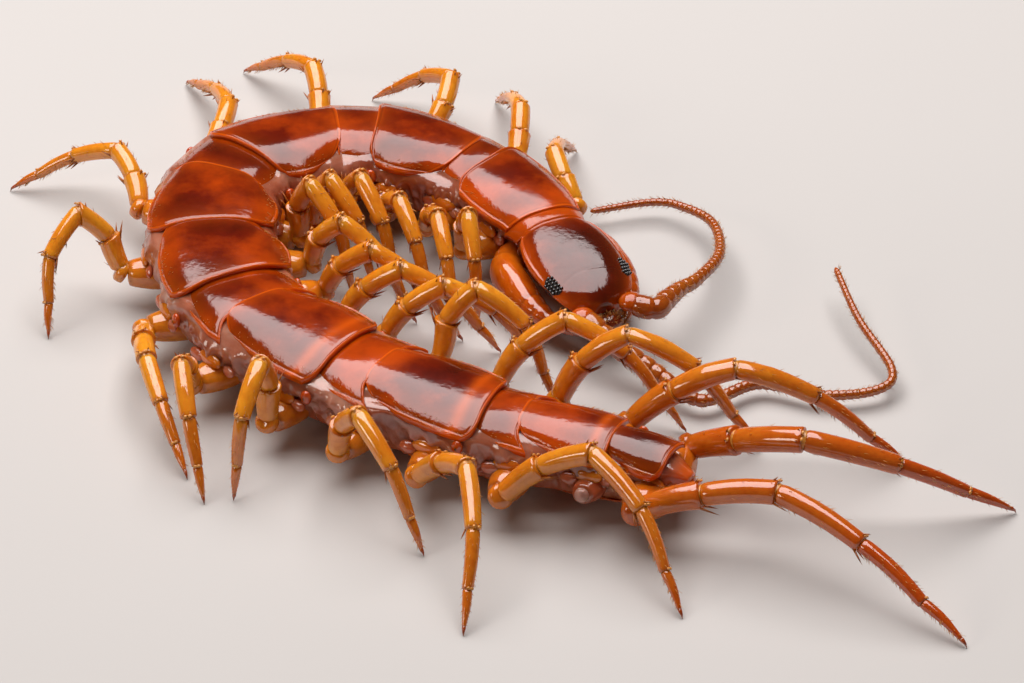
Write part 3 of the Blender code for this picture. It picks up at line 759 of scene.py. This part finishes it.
def make_collar():
    """The narrow plate between the head and the first back plate."""
    tops, tones = [], []
    for row, across in plate_grid(*COLLAR_GRID):
        station = JOINT_AT[1] - 0.1 + 0.1 * abs(across) ** 3 + (0.62 - 0.12 * abs(across) ** 3) * row
        half = 1.0 + 0.14 * row
        height = (back_height(0.0) - 0.1 + 0.03 * math.sin(math.pi * row)
                  - 0.05 * across ** 2 - 0.42 * abs(across) ** 3.2)
        tops.append(body_point(station, half * across, height))
        tones.append((0.3 + 0.1 * abs(across) ** 4, 0.05, 0.15 * abs(across) ** 4))
    build = Build()
    build.add_sheet(COLLAR_GRID, tops, np.array(tops) - UP * COLLAR_THICK, tones)
    return build.finish("forcipular_tergite", [PLATE])


def make_belly_plates():
    """The plates under the belly, one to a segment."""
    build = Build()
    rows, columns = BELLY_GRID
    for segment in range(1, 16):
        middle = hip_station(segment)
        half_length = 0.92 if segment < 15 else 0.5
        half = BODY_HALF[segment - 1] * 0.62
        lower = []
        for row in np.linspace(-1, 1, rows):
            for across in np.linspace(-1, 1, columns):
                station = middle + half_length * row * (1 - 0.12 * across ** 4)
                side = half * across * (1.0 - 0.18 * (row + 1) / 2)
                rim = 0.02 * (abs(across) ** 6 + abs(row) ** 6)
                height = BELLY_Z - 0.02 + rim * 2 + 0.08 * abs(across) ** 3
                lower.append(body_point(station, side, height))
        build.add_sheet(BELLY_GRID, np.array(lower) + UP * BELLY_THICK, lower, (0.3, 0.5, 0.0))
    return build.finish("belly_plates", [PLATE])


# Hips

# Places along a coxa, and its width there as shares of its size
COXA_PLACES = (0.0, 0.25, 0.5, 0.72, 0.88, 0.97, 1.0)
COXA_RADII = (1.35, 1.42, 1.36, 1.22, 1.08, 0.96, 0.62)
COXA_SIDES = 20
# Small plates round a hip: how far tailward and up, how large, and which material
SIDE_PLATES = ((-0.52, 0.3, (0.26, 0.1, 0.17), 1), (0.46, 0.36, (0.22, 0.1, 0.15), 1),
               (-0.05, 0.46, (0.42, 0.12, 0.2), 0))
SPIRACLE_SEGMENTS = (3, 5, 8, 10, 12, 14)
SPIRACLE_STEP = 0.75
SPIRACLE_RISE = 0.78


def make_hips():
    """Coxae, small side plates and spiracles over the skin."""
    build = Build()
    for side, sign in SIGNS.items():
        for segment in range(1, 16):
            hip, out = hip_place(side, segment)
            station = hip_station(segment)
            _, tailward, _ = station_frame(station)
            stout = stoutness(segment)
            size = 0.36 * stout
            lost = (side, segment) == LOST_LEG
            if lost:
                way = out
            else:
                points, _ = leg_points(side, segment)
                way = unit(points[1] - points[0])
            axis = unit(out + way * 0.5)
            inner = body_point(station, trunk_half(station) * 0.5 * sign, HIP_Z - 0.05)
            end = hip - axis * 0.14 * stout
            if lost:
                end = inner + (end - inner) * 0.8
                size *= 0.7
            path = [inner + (end - inner) * part for part in COXA_PLACES]
            shell, faces = tube(path, [size * part for part in COXA_RADII], COXA_SIDES, flat=0.92)
            tones = np.tile((0.1, 0.35, 0.0), (len(shell), 1))
            tones[5 * COXA_SIDES:6 * COXA_SIDES] = (0.2, 0.3, 0.35)
            tones[:, 1] = 0.3 + 0.05 * max(segment - 9, 0)
            build.add(shell, faces, tones, 1 if lost else 0)
            if lost:
                build.add(*ball(end, (0.2, 0.2, 0.2), (tailward, UP, axis), 10, 16), (0.0, 0.0, 0.0), 2)
            slant = unit(UP - out * 0.35)
            axes = (tailward, np.cross(slant, tailward), slant)
            for step, rise, plate_size, kind in SIDE_PLATES:
                beside = (trunk_half(station + step) - 0.08) * sign
                where = body_point(station + step, beside, HIP_Z + rise)
                build.add(*ball(where, plate_size, axes, 12, 20), (0.2, 0.4, 0.0), kind)
            if segment in SPIRACLE_SEGMENTS:
                beside = (trunk_half(station + SPIRACLE_STEP) - 0.02) * sign
                where = body_point(station + SPIRACLE_STEP, beside, HIP_Z + SPIRACLE_RISE)
                axes = (tailward, out, UP)
                build.add(*ball(where, (0.16, 0.11, 0.2), axes, 10, 16), (0.0, 1.0, 0.0))
                build.add(*ball(where + out * 0.075, (0.045, 0.04, 0.07), axes, 6, 10), (0.0, 0.5, 0.9))
    return build.finish("hips", [LEG, SKIN, SCAR])


# Legs

# Widths of the podomeres at their root, middle and end, and the outline of one along its length
PODOMERE_RADII = ((0.27, 0.31, 0.33), (0.27, 0.29, 0.28), (0.245, 0.25, 0.215), (0.185, 0.18, 0.145),
                  (0.135, 0.115, 0.05))
PODOMERE_SHAPE = ((0.0, 0.84), (0.03, 0.95), (0.08, 1.0), (0.2, 1.0), (0.4, 0.99), (0.6, 0.99), (0.8, 1.0),
                  (0.91, 1.015), (0.97, 1.025), (1.0, 0.99), (1.01, 0.88))
PODOMERE_BOW = 0.035
LEG_SIDES = 18
# Steps along the trochanter, and its width there
TROCHANTER = ((0.0, 0.24), (0.03, 0.3), (0.12, 0.315), (0.24, 0.3), (0.3, 0.22))
# How red a leg is, the last ones most, and how much redder each podomere is than the leg
LEG_REDNESS = 0.06
LAST_REDNESS = {12: 0.12, 13: 0.22, 14: 0.42, 15: 0.68}
PODOMERE_WARMTH = (0.0, 0.0, 0.05, 0.34, 0.5)
CLAW_SIDES = 10
CLAW_TONES = ((0.1, 0.9, 0.1), (0.1, 0.9, 0.3), (0.2, 0.9, 0.6), (0.2, 0.9, 0.8))
# Spines round a podomere's end: their turn in degrees from its side, above where positive, and their length
SPINE_RING = ((70, 0.2), (115, 0.17), (-60, 0.34), (-90, 0.4), (-125, 0.32))
HAIRS_PER_MM = (5, 6, 14, 44, 36)
# What the bake map divides the length of the body by, in segments
BAKE_SEGMENTS = 15.5


def make_leg(side, segment, spines, hairs):
    """One leg: trochanter, five podomeres with their joint skin, and the claw."""
    points, upright = leg_points(side, segment)
    _, out = hip_place(side, segment)
    stout = stoutness(segment) * (0.66 + 0.32 * min(LEG_SIZES[segment - 1], 1.1))
    rng = random.Random(segment * 2 + (side == "left"))
    redness = LAST_REDNESS.get(segment, LEG_REDNESS)
    build = Build()
    ways = [unit(far - near) for near, far in zip(points, points[1:])]
    axis = unit(out + ways[0] * 0.8)
    ring = [points[0] - axis * 0.12 + axis * step * stout for step, _ in TROCHANTER]
    build.add(*tube(ring, [stout * size for _, size in TROCHANTER], LEG_SIDES), (0.15, redness + 0.1, 0.0))
    mitres = [ways[0], *[unit(before + after) for before, after in zip(ways, ways[1:])], ways[4]]
    for joint in range(5):
        near, far = points[joint], points[joint + 1]
        way = ways[joint]
        length = np.linalg.norm(far - near)
        radii_here = [size * stout for size in PODOMERE_RADII[joint]]
        last = radii_here[2]
        lift = unit(upright - way * np.dot(upright, way))
        frames, path, radii, tones = [], [], [], []
        inset = 0.025 if joint else 0.12
        for place, swell in PODOMERE_SHAPE:
            along = inset + (length - inset) * place
            bow = PODOMERE_BOW * length * math.sin(math.pi * place)
            path.append(near + way * along + lift * bow)
            radii.append(swell * float(np.interp(place, (0.0, 0.5, 1.0), radii_here)))
            frames.append((way, np.cross(lift, way), lift))
            warm = redness + PODOMERE_WARMTH[joint] + 0.1 * place
            rim = 0.4 * bell(1.0, place, 0.04) + 0.2 * bell(place, 0.0, 0.04)
            tones.extend([(rim, min(warm, 0.95), 0.1 if 0.98 < place < 1.005 else 0.0)] * LEG_SIDES)
        shell, faces = tube(path, radii, LEG_SIDES, flat=0.94, frames=frames)
        ends = [(near, mitres[joint], -length / 2), (far, mitres[joint + 1], length / 2)]
        build.add(mitred(shell, way, ends), faces, np.array(tones))
        if joint < 4:
            size = min(last, PODOMERE_RADII[joint + 1][0] * stout) * 0.86
            across = np.cross(way, lift)
            build.add(*ball(far, (size, size, size), (way, lift, across), 8, 14), (0.0, 0.2, 0.0), 1)
            top = unit(np.cross(across, mitres[joint + 1]) * -1.0)
            top = top * (1.0 if top.dot(lift) > 0 else -1.0)
            axes = (mitres[joint + 1], top, across)
            for sign in (-1, 1):
                knob = far + top * last * 0.93 + across * sign * last * 0.3
                build.add(*ball(knob, (0.045, 0.035, 0.06), axes, 6, 8), (0.0, 0.1, 0.0), 1)
        add_leg_spines(spines, rng, joint, far, way, lift, last, segment)
        add_leg_hairs(hairs, rng, joint, near, way, lift, length, radii_here, (segment, side))
    tip, last_way = points[5], ways[4]
    ahead = np.array((last_way[0], last_way[1], 0.0))
    ground = np.array((tip[0], tip[1], 0.0)) + ahead * 0.2
    claw = [tip - last_way * 0.03, tip + last_way * 0.05,
            tip * 0.55 + ground * 0.45 + ahead * 0.06, ground + UP * 0.006]
    widths = (0.052 * stout, 0.05 * stout, 0.032, 0.005)
    build.add(*tube(claw, widths, CLAW_SIDES), np.repeat(CLAW_TONES, CLAW_SIDES, axis=0))
    name = f"leg_{side}_{segment:02d}"
    return build.finish(name + "_shell", [LEG, JOINT_SKIN], [name])


def mitred(shell, way, ends):
    """Slides a podomere's points along it, so that its ends lie in the planes halfway to its neighbours."""
    middle = (ends[0][0] + ends[1][0]) / 2
    along = (shell - middle) @ way
    for place, plane, reach in ends:
        share = np.clip(along / reach, 0.0, 1.0) ** 2
        flat = shell - np.outer((shell - place) @ way, way)
        slide = -((flat - place) @ plane) / way.dot(plane)
        slide = np.where(slide * reach > 0, 0.6, 1.0) * slide
        shell = shell + np.outer(slide * share, way)
    return shell


def add_leg_spines(spines, rng, joint, end, way, lift, radius, segment):
    """The dark spines round the end of a podomere, short above and long below."""
    if joint > 2:
        return
    across = np.cross(way, lift)
    for turn, length in SPINE_RING:
        if turn > 0 and segment < 3:
            continue
        normal = towards(across, lift, math.radians(turn + rng.uniform(-8, 8)))
        size = length * rng.uniform(0.85, 1.15) * (1.0 + 0.15 * (segment > 12))
        root = end - way * 0.07 + normal * radius * 0.9
        lean, thick = (0.75, 0.026) if turn > 0 else (0.55, 0.034)
        spike(spines, root, way * 0.9 + normal * lean, size, thick, sides=6)


def add_leg_hairs(hairs, rng, joint, near, way, lift, length, radii, leg):
    """Fine hairs over a podomere, closest on the tarsus."""
    across = np.cross(way, lift)
    segment, side = leg
    for _ in range(int(HAIRS_PER_MM[joint] * length)):
        place = rng.uniform(0.08, 0.96)
        angle = rng.uniform(0, 2 * math.pi)
        if joint > 2 and rng.random() < 0.45:
            angle = -math.pi / 2 + rng.uniform(-0.7, 0.7)
        normal = towards(across, lift, angle)
        radius = float(np.interp(place, (0.0, 0.5, 1.0), radii))
        bow = lift * PODOMERE_BOW * length * math.sin(math.pi * place)
        root = near + way * length * place + bow + normal * radius * 0.92
        if root[2] < 0.12:
            continue
        size = rng.uniform(0.1, 0.2) * (1.0 if joint < 3 else 0.8)
        patch = ((segment - 1 + place) / BAKE_SEGMENTS, (0.02 if side == "left" else 0.52) + 0.09 * joint)
        spike(hairs, root, way + normal * 0.75, size, 0.009, patch=patch)


# Head

# Half width of the head shield at places from its front to its rear
HEAD_OUTLINE = ((0.0, 0.3), (0.02, 0.55), (0.06, 0.8), (0.12, 0.98), (0.2, 1.1), (0.32, 1.2), (0.48, 1.26),
                (0.62, 1.27), (0.76, 1.22), (0.88, 1.12), (0.95, 1.02), (1.0, 0.88))
HEAD_GRID = (110, 84)
EYE_FRACTION = 0.3
OCELLI_ROWS = (4, 5, 6, 5)


def head_half(fraction):
    """Half width of the head from front to rear, rounded at the front and the rear corners."""
    return soft_blend(HEAD_OUTLINE, fraction, min(0.04, 0.01 + 0.2 * fraction))


def head_station(fraction):
    return JOINT_AT[0] + 0.02 + (HEAD_LENGTH - 0.08) * fraction


def head_height(fraction, across):
    """Height of the top of the head."""
    crown = 2.34 - 0.4 * (1 - fraction) ** 2 - 0.28 * math.exp(-fraction / 0.06)
    fall = -0.09 * across ** 2 - 0.3 * abs(across) ** 3.6
    suture = 0.3 - 0.1 * across ** 2
    groove = -0.012 * bell(fraction, suture, 0.01) / (1.0 + math.exp((abs(across) - 0.78) / 0.03))
    middle = -0.003 * bell(across, 0.0, 0.04) / (1.0 + math.exp((fraction - 0.26) / 0.02))
    inset = min(1 - abs(across), (1 - fraction) * 2.4)
    rim = 0.035 * bell(inset, 0.03, 0.025) - 0.02 * bell(inset, 0.09, 0.03)
    return crown + fall + groove + middle + rim / (1.0 + math.exp((0.45 - fraction) / 0.05))


def make_head():
    """The flat head shield with its rim and grooves, closed below."""
    build = Build()
    tops, tones, under = [], [], []
    for fraction, across in plate_grid(*HEAD_GRID, 1.5, 1.6):
        half = head_half(fraction)
        height = head_height(fraction, across)
        station = head_station(fraction)
        tops.append(body_point(station, half * across, height))
        near = min((1 - abs(across)) * half, (1 - fraction) * HEAD_LENGTH)
        shade = 0.3 * bell(near, 0.02, 0.03) + 0.2 * (1.0 - math.exp(-near / 0.25))
        tones.append((math.exp(-near / 0.14) * 0.8, 0.03, shade))
        low = 1.34 + 0.22 * fraction + 0.3 * abs(across) ** 5
        under.append(body_point(station, half * across * 0.985, min(low, height - 0.06)))
    build.add_sheet(HEAD_GRID, tops, under, tones)
    _, tailward, left = station_frame(JOINT_AT[0])
    for route in (ANTENNA_RIGHT, ANTENNA_LEFT):
        socket = np.array(route[0]) + tailward * 0.2 - UP * 0.05
        build.add(*ball(socket, (0.34, 0.32, 0.24), (left, tailward, UP), 12, 20), (0.3, 0.3, 0.0))
    return build.finish("head_shield", [PLATE], ["head"])


def make_eyes():
    """Two clusters of small round ocelli in rows, on dark patches at the sides of the head."""
    rings, sides = 10, 32
    for side, sign in SIGNS.items():
        build = Build()
        _, tailward, left = station_frame(head_station(EYE_FRACTION))
        rng = random.Random(7)
        patch = []
        for reach in np.linspace(1.0, 0.02, rings):
            for turn in np.linspace(0, 2 * math.pi, sides, endpoint=False):
                fraction = EYE_FRACTION + 0.105 * reach * math.cos(turn)
                out = 0.89 + 0.115 * reach * math.sin(turn)
                height = head_height(fraction, out) + 0.02 * (1.0 - reach ** 4) - 0.006
                patch.append(body_point(head_station(fraction), head_half(fraction) * out * sign, height))
        patch = [point - UP * 0.06 for point in patch[:sides]] + patch
        faces = grid_faces(rings + 1, sides, closed=True)
        faces += [tuple(range(rings * sides, (rings + 1) * sides)), tuple(range(sides))[::-1]]
        build.add(patch, [face[::sign] for face in faces], kind=1)
        for row, count in enumerate(OCELLI_ROWS):
            for column in range(count):
                fraction = EYE_FRACTION + (column - (count - 1) / 2) * 0.033 + rng.uniform(-0.003, 0.003)
                out = 0.98 - row * 0.06
                height = head_height(fraction, out) + 0.02
                where = body_point(head_station(fraction), head_half(fraction) * out * sign, height)
                size = 0.046 if row or column else 0.058
                build.add(*ball(where, (size, size, size * 0.8), (left, tailward, UP), 6, 10))
        build.finish(f"ocelli_{side}", [EYE, EYE_GROUND], [f"eye_{side}"])


# Forcipules and mouth

# Width, darkness and joints of a forcipule from its root to its tip
FANG_WIDTHS = ((0.0, 0.36), (0.06, 0.42), (0.25, 0.47), (0.45, 0.44), (0.56, 0.38), (0.7, 0.27), (0.85, 0.15),
               (1.0, 0.02))
FANG_SHADES = ((0.0, 0.0), (0.75, 0.0), (0.9, 0.5), (1.0, 0.9))
FANG_JOINTS = (0.13, 0.56, 0.64, 0.71)
FANG_RINGS = 60
FANG_SIDES = 24
# The mouth's plate and its palps: how far tailward of the head's front, how far out, and how high
MOUTH_GRID = (14, 16)
MOUTH_WIDTHS = ((0.0, 0.34), (0.3, 0.6), (0.7, 0.72), (1.0, 0.7))
PALP_ROUTE = ((1.2, 0.3, 0.98), (0.75, 0.36, 0.95), (0.3, 0.34, 0.98), (0.0, 0.26, 1.05), (-0.2, 0.16, 1.12))
PALP_WIDTHS = ((0.0, 0.16), (0.3, 0.2), (0.7, 0.17), (0.93, 0.12), (1.0, 0.03))
PALP_RINGS = 24


def smooth_path(points, count):
    """Points along a smooth curve through the given ones."""
    points = [np.asarray(point, float) for point in points]
    ends = [points[0] * 2 - points[1], *points, points[-1] * 2 - points[-2]]
    fine = []
    for p0, p1, p2, p3 in zip(ends, ends[1:], ends[2:], ends[3:]):
        for step in range(24):
            t = step / 24
            fine.append((p1 * 2 + (p2 - p0) * t + (p0 * 2 - p1 * 5 + p2 * 4 - p3) * t * t
                         + (p1 * 3 - p0 - p2 * 3 + p3) * t ** 3) / 2)
    fine = np.array(fine + [points[-1]])
    walked = distances(fine)
    return on_path(fine, walked, np.linspace(0, walked[-1], count))


def make_forcipule(side):
    """A poison claw: a long glossy first joint, two short ones and the curved dark fang."""
    tailward = heading(BEARINGS[0])
    outward = np.array((tailward[1], -tailward[0], 0.0)) * SIGNS[side]
    route = [JOINTS[1] + tailward * along + outward * out + UP * height
             for along, out, height in FORCIPULE_PATH]
    hidden_root = route[0] + tailward * 0.5 - outward * 0.4
    path = smooth_path([hidden_root, *route[1:]], FANG_RINGS)
    radii, tones = [], []
    for place in np.linspace(0, 1, FANG_RINGS):
        thick = blend(FANG_WIDTHS, place)
        for joint in FANG_JOINTS:
            thick -= 0.035 * bell(place, joint, 0.012)
        radii.append(thick)
        seam = max(bell(place, joint, 0.008) for joint in FANG_JOINTS)
        tone = (0.5 * seam, 0.25 + 0.4 * place, max(blend(FANG_SHADES, place), 0.25 * seam))
        tones.extend([tone] * FANG_SIDES)
    build = Build()
    build.add(*tube(path, radii, FANG_SIDES), np.array(tones))
    return build.finish(f"forcipule_{side}_shell", [CLAW], [f"forcipule_{side}"])


def make_mouth(hairs):
    """The plate between the claws, and the two short palps with their brush of bristles."""
    build = Build()
    _, tailward, left = station_frame(JOINT_AT[0])
    rows, columns = MOUTH_GRID
    upper, lower = [], []
    for row in np.linspace(0, 1, rows):
        for across in np.linspace(-1, 1, columns):
            half = blend(MOUTH_WIDTHS, row)
            front = JOINT_AT[0] + 1.35 - 0.12 * bell(abs(across), 0.5, 0.4)
            station = front + (JOINT_AT[1] + 0.3 - front) * row
            upper.append(body_point(station, half * across, 1.08))
            low = 0.66 + 0.12 * across ** 4 + 0.04 * bell(across, 0.0, 0.05)
            lower.append(body_point(station, half * across, low))
    build.add_sheet(MOUTH_GRID, upper, lower, (0.2, 0.2, 0.0))
    rng = random.Random(11)
    for sign in (-1, 1):
        route = [body_point(JOINT_AT[0] + along, side * sign, height) for along, side, height in PALP_ROUTE]
        path = smooth_path(route, PALP_RINGS)
        radii = []
        for place in np.linspace(0, 1, PALP_RINGS):
            seam = sum(0.03 * bell(place, joint, 0.025) for joint in (0.3, 0.6))
            radii.append(blend(PALP_WIDTHS, place) - seam)
        build.add(*tube(path, radii, 16), (0.1, 0.6, 0.25))
        frames = tube_frames(path)
        for _ in range(150):
            index = rng.randrange(6, PALP_RINGS)
            way, across, other = frames[index]
            normal = towards(across, other, rng.uniform(0, 2 * math.pi))
            spike(hairs, path[index] + normal * radii[index] * 0.9, way * 0.8 + normal * 0.8,
                  rng.uniform(0.12, 0.24), 0.009, patch=(0.97, 0.2 + 0.01 * index))
    lobe = body_point(JOINT_AT[0] - 0.02, 0.12, 1.02)
    build.add(*ball(lobe, (0.42, 0.3, 0.26), (left, tailward, UP), 12, 20), (0.3, 0.9, 0.6))
    for _ in range(260):
        turn = rng.uniform(0, 2 * math.pi)
        tilt = math.acos(rng.uniform(-0.6, 0.9))
        away = (left * math.sin(tilt) * math.cos(turn) - tailward * abs(math.cos(tilt)) * 0.9
                + UP * math.sin(tilt) * math.sin(turn))
        root = lobe + left * away.dot(left) * 0.4 + tailward * away.dot(tailward) * 0.28 + UP * away[2] * 0.24
        spike(hairs, root, away, rng.uniform(0.14, 0.26), 0.01, patch=(0.97, 0.6))
    return build.finish("mouth", [CLAW], ["mouthparts"])


# Antennae and tail

ARTICLE_SHAPE = ((0.0, 0.86), (0.1, 0.95), (0.3, 1.0), (0.55, 1.02), (0.8, 1.02), (0.95, 0.96))
ARTICLE_LENGTHS = ((0.0, 0.5), (0.1, 0.42), (0.2, 0.3), (0.35, 0.2), (1.0, 0.14))
ANTENNA_RADII = ((0.0, 0.31), (0.12, 0.28), (0.2, 0.21), (0.3, 0.165), (0.6, 0.13), (1.0, 0.085))
ANTENNA_SIDES = 14
# Rings of the tail: how far past the body's end, how high, and how wide
TAIL_RINGS = ((-0.65, 1.3, 0.42), (-0.4, 1.28, 0.46), (-0.15, 1.22, 0.36), (0.0, 1.16, 0.2),
              (0.05, 1.14, 0.06))

FLOOR_REACH = 0.6


def make_antenna(side, route, hairs):
    """An antenna of bead-like articles with whorls of short bristles."""
    build = Build()
    fine = smooth_path(route, 400)
    walked = distances(fine)
    total = walked[-1]
    edges = [0.0]
    while edges[-1] < total - 0.1:
        edges.append(edges[-1] + blend(ARTICLE_LENGTHS, edges[-1] / total))
    edges[-1] = total
    rng = random.Random(21 if side == "left" else 22)
    path, radii, tones = [], [], []
    for near, far in zip(edges, edges[1:]):
        for place, swell in ARTICLE_SHAPE:
            distance = near + (far - near) * place
            share = distance / total
            radius = blend(ANTENNA_RADII, share) * (1.0 - 0.75 * place ** 2 * (far == total))
            path.append(on_path(fine, walked, distance))
            radii.append(radius * swell)
            edge = 0.5 if place < 0.05 or place > 0.9 else 0.0
            shade = 0.25 if place < 0.05 else 0.0
            tones.extend([(edge, 0.25 + 0.4 * share, shade)] * ANTENNA_SIDES)
        share = near / total
        radius = blend(ANTENNA_RADII, share)
        way = unit(on_path(fine, walked, far) - on_path(fine, walked, near))
        across = unit(np.cross(way, UP))
        other = np.cross(way, across)
        patch = (share * 0.95, 0.45 if side == "left" else 0.95)
        for _ in range(int(40 * (far - near)) + 4):
            place = rng.choice((0.35, 0.7)) + rng.uniform(-0.08, 0.08)
            normal = towards(across, other, rng.uniform(0, 2 * math.pi))
            root = on_path(fine, walked, near + (far - near) * place) + normal * radius * 0.95
            if root[2] >= 0.1:
                spike(hairs, root, way * 0.9 + normal * 0.8, rng.uniform(0.1, 0.16), 0.0065, patch=patch)
    path.append(fine[-1])
    radii.append(0.012)
    tones.extend([(0.0, 0.7, 0.0)] * ANTENNA_SIDES)
    build.add(*tube(path, radii, ANTENNA_SIDES), np.array(tones))
    nodes = [f"antenna_{side}_{part}" for part in ("base", "middle", "tip")]
    return build.finish(f"antenna_{side}", [FEELER], nodes)


def make_tail(hairs):
    """The small last segment with its sparse hairs."""
    build = Build()
    path = [body_point(REAR_END + step, 0.0, height) for step, height, _ in TAIL_RINGS]
    radii = [radius for _, _, radius in TAIL_RINGS]
    build.add(*tube(path, radii, 22, flat=0.85), (0.2, 0.5, 0.1))
    rng = random.Random(5)
    frames = tube_frames(path)
    for _ in range(60):
        index = rng.randrange(1, 4)
        way, across, other = frames[index]
        normal = towards(across, other, rng.uniform(0, 2 * math.pi))
        spike(hairs, path[index] + normal * radii[index] * 0.85, way + normal * 0.7,
              rng.uniform(0.1, 0.2), 0.009, patch=(0.99, 0.5))
    return build.finish("telson", [CLAW])


def add_plate_hairs(hairs):
    """Short hairs along the sides of the back plates."""
    rng = random.Random(3)
    for segment in range(1, 16):
        start, end = JOINT_AT[segment + 1], JOINT_AT[segment + 2]
        surface = plate_surface(segment)
        for sign in (-1, 1):
            for _ in range(int(12 * (end - start))):
                fraction = rng.uniform(0.12, 0.95)
                root, _ = surface(fraction, rng.uniform(0.8, 0.99) * sign)
                _, tailward, left = station_frame(start + (end - start) * fraction)
                way = tailward * 0.7 + left * 0.6 * sign + UP * 0.3
                patch = ((segment - 1 + fraction) / BAKE_SEGMENTS, 0.48 + 0.02 * sign)
                spike(hairs, root, way, rng.uniform(0.06, 0.12), 0.0075, patch=patch)


def make_all():
    spines = Build()
    hairs = Build()
    make_skin()
    for segment in range(1, 16):
        make_plate(segment)
    make_collar()
    make_belly_plates()
    make_hips()
    for side, segment in STANCES:
        make_leg(side, segment, spines, hairs)
    make_head()
    make_eyes()
    for side in ("left", "right"):
        make_forcipule(side)
    make_mouth(hairs)
    make_antenna("right", ANTENNA_RIGHT, hairs)
    make_antenna("left", ANTENNA_LEFT, hairs)
    make_tail(hairs)
    add_plate_hairs(hairs)
    spines.finish("spines", [SPINE])
    hairs.finish("hairs", [HAIR])


def make_floor():
    """A plain level floor, as stage."""
    mesh = bpy.data.meshes.new("floor")
    corners = [(x * FLOOR_REACH, y * FLOOR_REACH, 0) for x, y in ((-1, -1), (1, -1), (1, 1), (-1, 1))]
    mesh.from_pydata(corners, [], [(0, 1, 2, 3)])
    floor = bpy.data.objects.new("floor", mesh)
    bpy.context.scene.collection.objects.link(floor)
    look = Nodes("floor_paper")
    look.colour(look.ramp(look.noise(40, detail=2.0), (0.3, (0.55, 0.54, 0.52)), (0.7, (0.57, 0.56, 0.54))))
    look.set(Roughness=0.85)
    mesh.materials.append(look.look)


def area_light(name, place, target, size, power, colour):
    """A soft rectangular light, in metres and watts, turned towards a point."""
    light = bpy.data.lights.new(name, "AREA")
    light.shape = "RECTANGLE"
    light.size, light.size_y = size
    light.energy = power
    light.color = colour
    obj = bpy.data.objects.new(name, light)
    obj.location = place
    way = np.array(target) - np.array(place)
    tilt = math.acos(-way[2] / np.linalg.norm(way))
    obj.rotation_euler = (tilt, 0.0, math.atan2(way[0], -way[1]) + math.pi)
    bpy.context.scene.collection.objects.link(obj)


def make_lights():
    bpy.context.scene.view_settings.view_transform = "Standard"
    area_light("overhead", (-0.02, 0.06, 0.13), (-0.02, 0.059, 0.0), (0.15, 0.17), 0.4, (1.0, 0.94, 0.93))
    area_light("side", (-0.2, -0.12, 0.1), (0.0, 0.0, 0.0), (0.08, 0.06), 0.09, (1.0, 0.9, 0.8))
    world = bpy.context.scene.world or bpy.data.worlds.new("world")
    bpy.context.scene.world = world
    world.use_nodes = True
    background = world.node_tree.nodes["Background"]
    background.inputs["Color"].default_value = (0.85, 0.87, 0.92, 1.0)
    background.inputs["Strength"].default_value = 0.035


def make_camera():
    camera = bpy.data.cameras.new("camera")
    camera.sensor_width = SENSOR
    camera.lens = SENSOR * CAMERA_DISTANCE / VIEW_WIDTH
    camera.clip_start = 0.01
    obj = bpy.data.objects.new("camera", camera)
    place = np.array((0.0, -math.cos(CAMERA_CLIMB), math.sin(CAMERA_CLIMB))) * CAMERA_DISTANCE - ORIGIN
    obj.location = place * MM
    obj.rotation_euler = (math.pi / 2 - CAMERA_CLIMB, 0.0, 0.0)
    bpy.context.scene.collection.objects.link(obj)
    bpy.context.scene.camera = obj


make_camera()
make_all()
make_floor()
make_lights()
